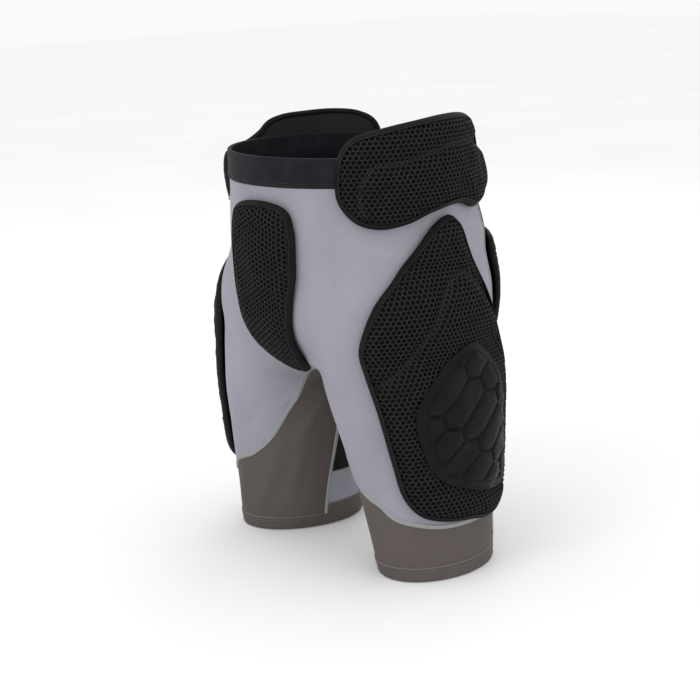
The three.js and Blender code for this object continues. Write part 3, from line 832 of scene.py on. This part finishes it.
def threads(starts, ends, up, radius):
    """Short humped stitches between pairs of points, all in one mesh."""
    across = unit(np.cross(unit(ends - starts), up))
    angles = np.arange(THREAD_SIDES) * 2 * math.pi / THREAD_SIDES
    rings = []
    for t, size, hump in THREAD_RINGS:
        centre = starts + (ends - starts) * t + up * radius * (hump - 0.2)
        ring = [centre + radius * size * (np.cos(a) * across + np.sin(a) * up) for a in angles]
        rings.append(np.stack(ring, 1))
    number, quads = tubes(len(starts), len(rings), THREAD_SIDES)
    return np.stack(rings, 1).reshape(-1, 3), [quads[:, [0, 3, 2, 1]], number[:, 0], number[:, -1, ::-1]]


def joined(parts):
    points, faces, start = [], [], 0
    for p, f in parts:
        points.append(p)
        faces += [x + start for x in f]
        start += len(p)
    return np.concatenate(points), faces


def on_side(turn, z, side, lift=0.0):
    """A path on the left half of the knit, with the knit's normals."""
    p = surface(*side_ray(turn, z))
    keep = p[:, 0] >= 0
    p = p[keep]
    n = normals_at(p)
    return p + n * (folds(p, side) + lift)[:, None], n


def along_path(path, up, spacing):
    """A path and its normals at even spacing."""
    both = np.concatenate([path, up], 1)
    length = lengths(path)
    at = np.linspace(0, length[-1], max(3, round(length[-1] / spacing)))
    made = np.stack([np.interp(at, length, both[:, k]) for k in range(6)], 1)
    return made[:, :3], unit(made[:, 3:])


def flatlock(path, up, width):
    """A flat seam: a raised tape with threads laced across it."""
    path, up = along_path(path, up, LACE_PITCH)
    tape = ribbon(path, up, width, SEAM_HEIGHT)
    forward = unit(np.gradient(path, axis=0))
    across = np.cross(forward, up)
    half = width / 2 + 0.2
    starts = path - across * half + up * 0.6
    ends = path + across * half + up * 0.6 + forward * 1.1
    lace = threads(starts, ends, up, LACE_THREAD)
    edges = []
    for way in (-1, 1):
        line = path + across * way * half * 0.55 + up * 0.7
        edges.append(threads(line[:-1], line[:-1] + np.diff(line, axis=0) * 0.9, up[:-1], EDGE_THREAD))
    return [tape, lace, *edges]


def stitch_row(path, up, pitch, radius, offset=0.0, lift=0.0):
    path, up = along_path(path, up, pitch)
    forward = unit(np.gradient(path, axis=0))
    line = path + np.cross(forward, up) * offset + up * lift
    return threads(line[:-1], line[:-1] + np.diff(line, axis=0) * 0.78, up[:-1], radius)


def crotch_height():
    z = np.arange(SEAT_Z, SEAT_Z - 120, -0.5)
    inside = field(np.stack([0 * z, 0 * z, z], 1)) < 0
    return z[inside.argmin()]


def make_seams():
    crotch = crotch_height()
    down = np.linspace(0, 1, 160)
    inseam_z = crotch - 0.6 + (HEM_TOP - crotch) * down ** 1.6
    across_front = np.linspace(-90, SIDE_SEAM, 260)
    for side in SIDES:
        rows = {
            "side_seam": on_side(SIDE_SEAM, np.linspace(BAND_BOTTOM - 1, CUFF_BACK + 1, 220), side),
            "thigh_seam": on_side(across_front, thigh_seam(across_front), side),
            "inseam": on_side(INSEAM, inseam_z, side),
            "lower_back_seam": on_side(np.linspace(SIDE_SEAM, INSEAM, 120), BACK_SEAM, side),
        }
        for name, (path, up) in rows.items():
            width = UPRIGHT_SEAM if name in ("inseam", "side_seam") else LEVEL_SEAM
            obj = piece_for(side, f"{side}_{name}", *joined(flatlock(path, up, width)), SEAM, "grey_knit")
            follow(obj, side)
        hem = np.linspace(-90, SIDE_SEAM, 200), np.linspace(SIDE_SEAM, INSEAM, 120)
        parts = []
        for turn, z in zip(hem, (HEM_TOP, CUFF_BACK)):
            path, up = on_side(turn, z - 2.0, side, 0.55)
            parts += [stitch_row(path, up, 2.6, 0.36, offset) for offset in (-1.5, 1.5)]
            path, up = on_side(turn, z, side, 0.2)
            parts.append(ribbon(*along_path(path, up, 3), 1.2, 0.45))
        obj = piece_for(side, f"{side}_hem_stitching", *joined(parts), TAUPE_THREAD, "taupe_knit")
        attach(obj, f"{side}_leg")
    make_centre_seam(crotch)


def make_centre_seam(crotch):
    """The seam that joins the two halves, from the front of the waist under the crotch to the back."""
    top = math.degrees(math.atan2(BAND_BOTTOM - STRIP_EYE, along(HIP_B, BAND_BOTTOM)))
    for name, way in (("centre_front_seam", -1), ("centre_back_seam", 1)):
        degrees = np.linspace(-top, 88, 200)
        p = surface(*strip_ray(way)(degrees, np.zeros_like(degrees)))
        n = normals_at(p)
        p = p + n * folds(p, "left")[:, None]
        path, up = along_path(p, n, LACE_PITCH)
        parts = [ribbon(path, up, 1.8, 0.35), stitch_row(path, up, 2.4, 0.22, 0, 0.3)]
        obj = mesh_object(name, *joined(parts), DARK_THREAD if way > 0 else SEAM)
        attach(obj, "hips")


# ---------- waistband ----------

# Inner and outer faces off the body, and the rounding of their edges
BAND_FACES, BAND_ROUNDING = (-2.6, 1.2), 1.3
ELASTIC_FACES, ELASTIC_ROUNDING = (-1.7, -0.1), 0.5
ELASTIC_MARGIN = 2                # how far the elastic ends inside the cover
BAND_STITCHES = (2.2, 4.4)        # heights of the two rows over the cover's lower edge


def band_ring(section, wave=0.0, around=300):
    """A ring round the waist; section is a closed list of [lift, height]."""
    degrees = np.arange(around) * 360 / around
    rows = []
    for lift, z in section:
        p = surface(*waist_ray(degrees, np.full(around, float(z))))
        n = unit(normals_at(p) * [1, 1, 0])
        ripple = np.sin(np.radians(degrees * 9) + z / 17) + np.sin(np.radians(degrees * 5) - z / 11)
        rows.append(p + n * (lift + wave * ripple / 2)[:, None])
    return swept(np.stack(rows, 1), True)


def rounded_section(inner, outer, bottom, top, radius):
    corners = [(outer, bottom, -90), (outer, top, 0), (inner, top, 90), (inner, bottom, 180)]
    section = []
    for index, (lift, z, start) in enumerate(corners):
        centre = (lift - radius if lift == outer else lift + radius, z - radius if z == top else z + radius)
        for k in range(5):
            a = math.radians(start + 22.5 * k)
            section.append((centre[0] + radius * math.cos(a), centre[1] + radius * math.sin(a)))
        if index in (0, 2):
            ends = (bottom + radius, top - radius) if index == 0 else (top - radius, bottom + radius)
            section += [(lift, z) for z in np.linspace(*ends, 10)[1:-1]]
    return section


def make_waistband():
    section = rounded_section(*BAND_FACES, BAND_BOTTOM, BAND_TOP, BAND_ROUNDING)
    cover = mesh_object("waistband_cover_knit", *band_ring(section, 0.25), BAND)
    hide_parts("waistband_cover")
    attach(cover, "hips")
    ends = BAND_BOTTOM + ELASTIC_MARGIN, BAND_TOP - ELASTIC_MARGIN
    section = rounded_section(*ELASTIC_FACES, *ends, ELASTIC_ROUNDING)
    elastic = mesh_object("waistband_elastic_core", *band_ring(section), ELASTIC)
    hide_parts("waistband_elastic")
    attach(elastic, "hips")
    degrees = np.linspace(0, 360, 700)
    rows = []
    for height in BAND_STITCHES:
        p = surface(*waist_ray(degrees, np.full(len(degrees), BAND_BOTTOM + height)))
        n = normals_at(p)
        rows.append(stitch_row(p + n * BAND_FACES[1], n, 2.6, 0.25))
    obj = mesh_object("waistband_stitching", *joined(rows), DARK_THREAD)
    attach(obj, "hips")


# ---------- pads ----------

# Outlines, as [degrees round from the front, height] on the sides and [x, degrees down] on the centre strips
HIP_BACK = [[169, -30], [163, -45], [150, -55], [135, -58], [117, -51], [86, -55], [62, -63]]
LEFT_HIP = [[18, -16], [22, 4], [30, 17], [50, 25], [75, 30], [101, 33], [125, 32], [140, 27], [150, 15],
            [159, 1], [166, -14]] + HIP_BACK + [[39, -66], [25, -59], [17, -40]]
RIGHT_HIP = [[31, -18], [37, -7], [49, -4], [66, -1], [80, 6], [90, 15], [104, 20], [124, 22], [146, 23],
             [162, 20], [172, 11], [176, -8]] + HIP_BACK + [[46, -62], [36, -54], [31, -38]]
THIGH = [[104, -61], [88, -67], [66, -89], [46, -114], [31, -139], [21, -172], [22, -200], [27, -236],
         [31, -280], [36, -318], [47, -336], [66, -344], [95, -348], [126, -353], [147, -346], [155, -320],
         [158, -250], [157, -205], [149, -176], [138, -150], [128, -122], [120, -92], [114, -70]]
REAR = [[168, -101], [177, -94], [186, -93], [192, -104], [194, -130], [192, -162], [186, -184],
        [178, -189], [170, -182], [167, -160], [166, -125]]
GROIN = [[-24, -33], [10, -35], [40, -34], [47, -28], [48, -14], [45, 4], [40, 18], [33, 32], [26, 43],
         [17, 52], [7, 56], [-5, 51], [-15, 44], [-23, 35], [-30, 22], [-34, 8], [-34, -12], [-31, -27]]
TAIL = [[-24, -24], [0, -27], [24, -24], [29, -12], [24, 4], [14, 17], [0, 23], [-14, 17], [-24, 4],
        [-29, -12]]
PLATE_OUTLINE = [[109, -178], [121, -188], [132, -206], [139, -250], [143, -300], [135, -323], [106, -321],
                 [84, -314], [67, -306], [57, -294], [51, -270], [48, -242], [53, -225], [66, -207],
                 [92, -184]]
# Sewn channels, as [degrees, height] on the sides
HIP_CHANNELS = [[[33, -57], [29, -44], [33, -21], [41, -9], [65, -5], [88, 1], [112, 6], [134, 6], [154, -2]]]
THIGH_CHANNELS = [[[24, -212], [30, -209], [43, -196], [58, -177], [72, -159], [83, -136], [92, -122],
                   [108, -116], [119, -127], [134, -148], [152, -176]]]

RIM = 3.0                         # a pad's thickness where its binding starts
TAPE = 4.3                        # width of the binding on the pad's face
HOLE_PITCH = 4.6                  # between the holes of the spacer mesh
HOLE_RADIUS = 1.8
NET = 1.6                         # thickness of the spacer mesh
NET_INSET = 0.9                   # it ends this far inside the outline, under the binding
CHANNEL_WIDTH = 5.0
CHANNEL_DEPTH = 6.0
ROUNDNESS = 2.2                   # how quickly a pad rises from its rim
HOLE_SIDES = 12
STITCH_PITCH = 3.0
TAPE_THREAD, CHANNEL_THREAD = 0.28, 0.45
CORE_STEP, LINING_STEP, PLATE_STEP = 3.2, 4.0, 0.9   # size of their triangles

SWELL_STEP = 5.0                  # size of the simulated cover's triangles
SWELL_START = 1.0                 # the cover starts this far under the pad's face
SWELL_SINK = -0.6                 # the least and the most that it may move
SWELL_CAP = 3.0
SWELL_EASE = 12                   # the start eases in over this distance from the outline
SWELL_FRAMES = 20
SWELL_PRESSURE = 4
SWELL_SLACK = -0.03               # the cloth is cut this much larger than the pad's face
CLOTH_MASS = 0.001                # of one point, in kilograms


def swell(pad):
    """The pad's cover as cloth under pressure, held at its binding and channels."""
    q, t = pad.outline.grid(SWELL_STEP)
    depth = -pad.outline.signed(q)[0]
    held = depth < TAPE
    for channel in pad.channels:
        held |= nearest_on(channel, q, False)[0] < 0.6 * SWELL_STEP
    start = pad.place(q, pad.lift(q, depth) - SWELL_START)
    obj = mesh_object("swelling_cover", start, t, CORE)
    group = obj.vertex_groups.new(name="held")
    group.add([int(i) for i in np.flatnonzero(held)], 1.0, "REPLACE")
    cloth = obj.modifiers.new("cloth", "CLOTH")
    cloth.settings.quality = 5
    cloth.settings.mass = CLOTH_MASS
    cloth.settings.shrink_min = SWELL_SLACK
    cloth.settings.vertex_group_mass = "held"
    cloth.settings.use_pressure = True
    cloth.settings.uniform_pressure_force = SWELL_PRESSURE
    cloth.settings.effector_weights.gravity = 0
    cloth.collision_settings.use_collision = False
    cloth.point_cache.frame_start, cloth.point_cache.frame_end = 1, SWELL_FRAMES
    scene = bpy.context.scene
    for number in range(1, SWELL_FRAMES + 1):
        scene.frame_set(number)
    shape = obj.evaluated_get(bpy.context.evaluated_depsgraph_get()).data
    moved = np.empty(len(q) * 3, np.float32)
    shape.vertices.foreach_get("co", moved)
    scene.frame_set(1)
    data = obj.data
    bpy.data.objects.remove(obj)
    bpy.data.meshes.remove(data)
    rise = ((moved.reshape(-1, 3) / MM - start) * normals_at(pad.place(q, 0.0))).sum(1)
    rise = np.clip(rise, SWELL_SINK, SWELL_CAP) - SWELL_START * eased(depth, 0, SWELL_EASE)
    rise[held] = 0
    tree = KDTree(len(q))
    for i, (x, y) in enumerate(q):
        tree.insert((x, y, 0), i)
    tree.balance()
    return rise, tree


class Pad:
    """One pad's flat outline, sewn channels and thickness over the body."""

    def __init__(self, chart, outline, channels, height, base, slope, across_first=True):
        flat = lambda line: chart.flatten(*np.array(line, float).T[::1 if across_first else -1])
        self.chart, self.height, self.base, self.slope = chart, height, base, slope
        self.outline = Outline(flat(outline))
        self.channels = [smooth_curve(flat(line), False, CURVE_SPACING) for line in channels]
        self.puff = None
        self.puff = swell(self)

    def lift(self, q, depth=None):
        """Height of the pad's face off the body."""
        if depth is None:
            depth = -self.outline.signed(q)[0]
        rise = self.rise(depth)
        for channel in self.channels:
            distance, _ = nearest_on(channel, q, False)
            dent = CHANNEL_DEPTH * np.exp(-(distance / CHANNEL_WIDTH) ** 2)
            rise = rise - dent * np.clip(rise / CHANNEL_DEPTH, 0, 1)
        if self.puff:
            rise = rise + self.puffed(q)
        return self.base + RIM + rise

    def puffed(self, q):
        """How far the simulated cover stands off its foam at flat places, blended from its nearest points."""
        rises, tree = self.puff
        out = np.empty(len(q))
        for i, (x, y) in enumerate(q):
            total = weight = 0.0
            for _, k, distance in tree.find_n((x, y, 0), 4):
                w = 1 / (distance + 0.6) ** 2
                total += w * rises[k]
                weight += w
            out[i] = total / weight
        return out

    def place(self, q, lift):
        return self.chart.place(q, lift)

    def core(self):
        q, t = self.outline.grid(CORE_STEP)
        inner = self.outline.signed(q)[0]
        top = self.place(q, np.maximum(self.lift(q, -inner) - NET - 0.2, self.base + 1.2))
        return thick_sheet(t, top, self.place(q, self.base + 0.9))

    def lining(self):
        q, t = self.outline.grid(LINING_STEP)
        return thick_sheet(t, self.place(q, self.base + 0.7), self.place(q, self.base - 0.1))

    def net(self):
        """Spacer mesh: six-sided cells, each with a round hole, over the whole face."""
        radius = HOLE_PITCH / math.sqrt(3)
        line = self.outline.line
        x, y = staggered(line.min(0) - HOLE_PITCH, line.max(0) + HOLE_PITCH, HOLE_PITCH)
        centres = np.stack([x.ravel(), y.ravel()], 1)
        centres = centres[self.outline.signed(centres)[0] < HOLE_PITCH / 2]
        corners = np.arange(HOLE_SIDES)
        angles = np.radians(360 / HOLE_SIDES * (corners + 1))
        way = np.stack([np.cos(angles), np.sin(angles)], 1)
        reach = np.where(corners % 2 == 0, radius, radius * math.cos(math.pi / 6))
        tight = self.tightness(centres)
        rings = [centres[:, None] + way * reach[:, None]]
        for wider in (0.2, 0, -0.1):
            rings.append(centres[:, None] + way * (HOLE_RADIUS + wider) * tight[:, None, None])
        sink = [0.0, 0.15, 0.55, NET]
        q = np.stack(rings, 1)
        _, quads = tubes(len(centres), len(rings), HOLE_SIDES)
        drop = np.broadcast_to(np.array(sink)[None, :, None], q.shape[:3]).ravel()
        q = q.reshape(-1, 2)
        signed, spot = self.outline.signed(q)
        outside = signed > -NET_INSET
        out = unit(np.where(signed[:, None] > 0, 1, -1) * (q - spot))
        q = np.where(outside[:, None], spot - NET_INSET * out, q)
        quads = quads[~outside[quads].all(1)]
        lift = self.lift(q, np.maximum(-signed, NET_INSET)) - drop
        flat, quads = welded(*compact(np.concatenate([q, lift[:, None]], 1), quads))
        return self.place(flat[:, :2], flat[:, 2]), quads

    def tightness(self, q):
        """Holes close up beside a sewn channel."""
        size = np.ones(len(q))
        for channel in self.channels:
            distance, _ = nearest_on(channel, q, False)
            size = np.minimum(size, 0.45 + 0.55 * np.clip(distance / CHANNEL_WIDTH, 0, 1))
        return size

    def binding(self, wraps):
        """The tape folded over the pad's edge."""
        line, inward = self.outline.line, self.outline.inward
        face = lambda offset, proud: (offset, self.lift_at(offset) + proud)
        section = [(0.3, self.base - 0.3), (-0.5, self.base + 0.6), (-0.75, self.base + 1.9),
                   (-0.45, self.base + RIM + 0.1), face(0.3, 0.9), face(1.3, 1.25), face(2.6, 1.3),
                   face(3.9, 1.1), face(TAPE - 0.25, 0.7), face(TAPE, 0.15), face(TAPE - 0.1, -0.6)]
        if wraps:
            section += [(1.3, self.base + 1.4), (1.3, self.base + 0.3), (TAPE - 0.4, self.base - 0.2),
                        (TAPE - 0.2, self.base - 0.8), (2.6, self.base - 1.0), (1.1, self.base - 0.8)]
        else:
            section += [(1.3, self.base + 1.0), (1.3, self.base - 0.3)]
        rows = [self.place(line + inward * offset, lift) for offset, lift in section]
        return swept(np.stack(rows, 1), True)

    def rise(self, depth):
        """How far the foam stands above its rim at a distance in from the outline."""
        t = np.clip(depth / self.slope, 0, 1)
        return (self.height - RIM) * (1 - (1 - t) ** ROUNDNESS)

    def lift_at(self, offset):
        return self.base + RIM + self.rise(offset)

    def stitches(self, offset, proud):
        line = self.outline.line + self.outline.inward * offset
        path = self.place(line, self.lift_at(offset) + proud)
        up = normals_at(self.place(line, 0.0))
        path, up = (np.concatenate([x, x[:1]]) for x in (path, up))
        return stitch_row(path, up, STITCH_PITCH, TAPE_THREAD)

    def channel_stitches(self):
        parts = []
        for channel in self.channels:
            path = self.place(channel, self.lift(channel))
            up = normals_at(self.place(channel, 0.0))
            for offset in (-0.9, 0.9):
                parts.append(stitch_row(path, up, STITCH_PITCH, CHANNEL_THREAD, offset, 0.3))
        return parts


def make_pad(name, pad, sides, body=None, lined=False):
    """Foam core, spacer mesh, lining, binding and stitching of one pad; with no body its transform is baked
    in place.
    """
    node = lambda side: f"{side}_{name}" if side else name
    stitching = joined([pad.stitches(TAPE - 1.1, 1.0), *pad.channel_stitches()])
    layers = {
        "foam_core": (pad.core(), CORE, "foam", True),
        "mesh_cover": (pad.net(), MESH, "spacer_mesh", True),
        "binding": (pad.binding(lined), BINDING, "binding_tape", False),
        "stitching": (stitching, DARK_THREAD, "binding_tape", False),
    }
    if lined:
        layers["lining"] = (pad.lining(), LINING, "black_knit", False)
    for side in sides:
        for layer, ((points, faces), finish, slot, soft) in layers.items():
            obj = piece_for(side, f"{node(side)}_{layer}_piece", points, faces, finish, slot)
            if layer != "stitching":
                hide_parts(f"{node(side)}_{layer}")
            if body:
                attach(obj, body)
            else:
                follow(obj, side)


# Long edges of a plate cell, its short upright edges and its short level edges, flat on the pad
CELL_LONG = np.array([31.0, 28.0])
CELL_UPRIGHT = np.array([-2.0, 12.5])
CELL_LEVEL = np.array([-14.0, 1.5])
CELL_SHIFT = np.array([4.0, 6.0])     # one cell's centre from the middle of the plate
CELL_RISE, CELL_GROOVE = 2.3, 0.9     # how far a cell stands up, and half the groove beside it
FLANGE, PLATE_EDGE, PLATE_RIM = 2.0, 2.2, 8.5   # height of the flange, its rounding, and the rim's width


def cell_depth(q, centre):
    """How far points are inside the nearest six-sided cell, in millimetres."""
    edges = [CELL_LONG, CELL_UPRIGHT, CELL_LEVEL]
    one, two = CELL_LONG + CELL_UPRIGHT, CELL_UPRIGHT + CELL_LEVEL
    best = np.full(len(q), -1e9)
    for i in range(-5, 6):
        for j in range(-9, 10):
            middle = centre + i * one + j * two
            depth = np.full(len(q), 1e9)
            for k, edge in enumerate(edges):
                across = np.array([-edge[1], edge[0]]) / np.linalg.norm(edge)
                others = [edges[m] for m in range(3) if m != k]
                half = sum(abs(other @ across) for other in others) / 2
                depth = np.minimum(depth, half - np.abs((q - middle) @ across))
            best = np.maximum(best, depth)
    return best


def make_plates(pad, chart):
    """The moulded plate: a rounded flange, a stepped rim and raised six-sided cells."""
    outline = Outline(chart.flatten(*np.array(PLATE_OUTLINE, float).T))
    q, t = outline.grid(PLATE_STEP)
    depth = np.maximum(-outline.signed(q)[0], 0)
    under = pad.lift(q)
    cells = np.minimum(cell_depth(q, outline.line.mean(0) + CELL_SHIFT), depth - PLATE_RIM)
    rise = FLANGE * dome(depth / PLATE_EDGE)
    rise += 1.0 * eased(depth, 4.6, 6.0) - 0.7 * eased(depth, 7.2, 8.6)
    rise += CELL_RISE * dome((cells - CELL_GROOVE) / PLATE_EDGE)
    rise += 0.5 * eased(cells, 2.5, 7.0)
    top, bottom = pad.place(q, under + rise), pad.place(q, under - 1.2)
    for side in SIDES:
        sheet = thick_sheet(t, top, bottom)
        obj = piece_for(side, f"{side}_thigh_plate_moulding", *sheet, PLATE, "moulded_plate")
        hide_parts(f"{side}_thigh_plate")
        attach(obj, f"{side}_leg")


def make_pads():
    side_chart = Chart(side_ray, (-4, 216), (-372, 48))
    front_chart = Chart(strip_ray(-1), (-60, 88), (-60, 60))
    back_chart = Chart(strip_ray(1), (-50, 60), (-44, 44))
    thigh = Pad(side_chart, THIGH, THIGH_CHANNELS, height=12.0, base=2.9, slope=20.0)
    for side, outline in (("left", LEFT_HIP), ("right", RIGHT_HIP)):
        hip = Pad(side_chart, outline, HIP_CHANNELS, height=13.0, base=3.6, slope=18.0)
        make_pad("hip_pad", hip, [side], "hips", lined=True)
    rear = Pad(side_chart, REAR, (), height=8.0, base=3.0, slope=16.0)
    groin = Pad(front_chart, GROIN, (), height=10.0, base=3.0, slope=18.0, across_first=False)
    tail = Pad(back_chart, TAIL, (), height=10.0, base=2.4, slope=16.0, across_first=False)
    make_pad("thigh_pad", thigh, SIDES)
    make_pad("rear_pad", rear, SIDES)
    make_pad("groin_pad", groin, [""], "hips")
    make_pad("tail_pad", tail, [""], "hips")
    make_plates(thigh, side_chart)


# ---------- floor, lights and camera ----------

TARGET = Vector((0.0, 0.0, -0.195))
AZIMUTH, ELEVATION, ROLL = 50, 13, -2   # degrees
DISTANCE = 1.712
SENSOR = 36.0
LENS = 88.05
SHIFT = (-0.0036, -0.0164)
FLOOR_REACH, FLOOR_LINES = 9000, 24
FLOOR_DROP = 1                    # the floor is a hair under the legs
BACKDROP = 0.95                   # strength of the white world


# name, degrees round, degrees up, distance and size in metres, watts
LIGHTS = [("key", 8, 46, 2.2, 1.2, 7), ("fill", 105, 24, 2.4, 1.6, 2), ("top", 60, 84, 2.2, 1.8, 3),
          ("rim", 215, 36, 2.4, 1.2, 4)]


def direction(azimuth, elevation):
    """The way from the object to a place in degrees round from the front and up."""
    a, e = math.radians(azimuth), math.radians(elevation)
    return Vector((math.sin(a) * math.cos(e), -math.cos(a) * math.cos(e), math.sin(e)))


def make_camera():
    back = direction(AZIMUTH, ELEVATION)
    data = bpy.data.cameras.new("camera")
    data.sensor_width, data.lens = SENSOR, LENS
    data.shift_x, data.shift_y = SHIFT
    data.clip_start, data.clip_end = 0.05, 100
    camera = bpy.data.objects.new("camera", data)
    turn = (-back).to_track_quat("-Z", "Y").to_matrix() @ Matrix.Rotation(math.radians(ROLL), 3, "Z")
    camera.matrix_world = Matrix.Translation(TARGET + back * DISTANCE) @ turn.to_4x4()
    bpy.context.scene.collection.objects.link(camera)
    bpy.context.scene.camera = camera


def area_light(name, azimuth, elevation, distance, size, power):
    way = direction(azimuth, elevation)
    data = bpy.data.lights.new(name, "AREA")
    data.shape, data.size, data.energy = "DISK", size, power
    lamp = bpy.data.objects.new(name, data)
    lamp.location = TARGET + way * distance
    lamp.rotation_mode = "QUATERNION"
    lamp.rotation_quaternion = way.to_track_quat("Z", "Y")
    bpy.context.scene.collection.objects.link(lamp)


def make_studio():
    scene = bpy.context.scene
    scene.view_settings.view_transform = "Standard"
    world = bpy.data.worlds.new("studio")
    world.use_nodes = True
    background = world.node_tree.nodes["Background"]
    background.inputs["Color"].default_value = (1, 1, 1, 1)
    background.inputs["Strength"].default_value = BACKDROP
    scene.world = world
    line = np.linspace(-FLOOR_REACH, FLOOR_REACH, FLOOR_LINES)
    x, y = np.meshgrid(line, line)
    number = np.arange(x.size).reshape(x.shape)
    corners = number[:-1, :-1], number[:-1, 1:], number[1:, 1:], number[1:, :-1]
    quads = np.stack([c.ravel() for c in corners], 1)
    points = np.stack([x.ravel(), y.ravel(), np.full(x.size, HEM_BOTTOM - FLOOR_DROP)], 1)
    floor = mesh_object("floor", points, quads, studio_floor("studio_floor"))
    for light in LIGHTS:
        area_light(*light)


make_panels()
make_seams()
make_waistband()
make_pads()
make_camera()
make_studio()
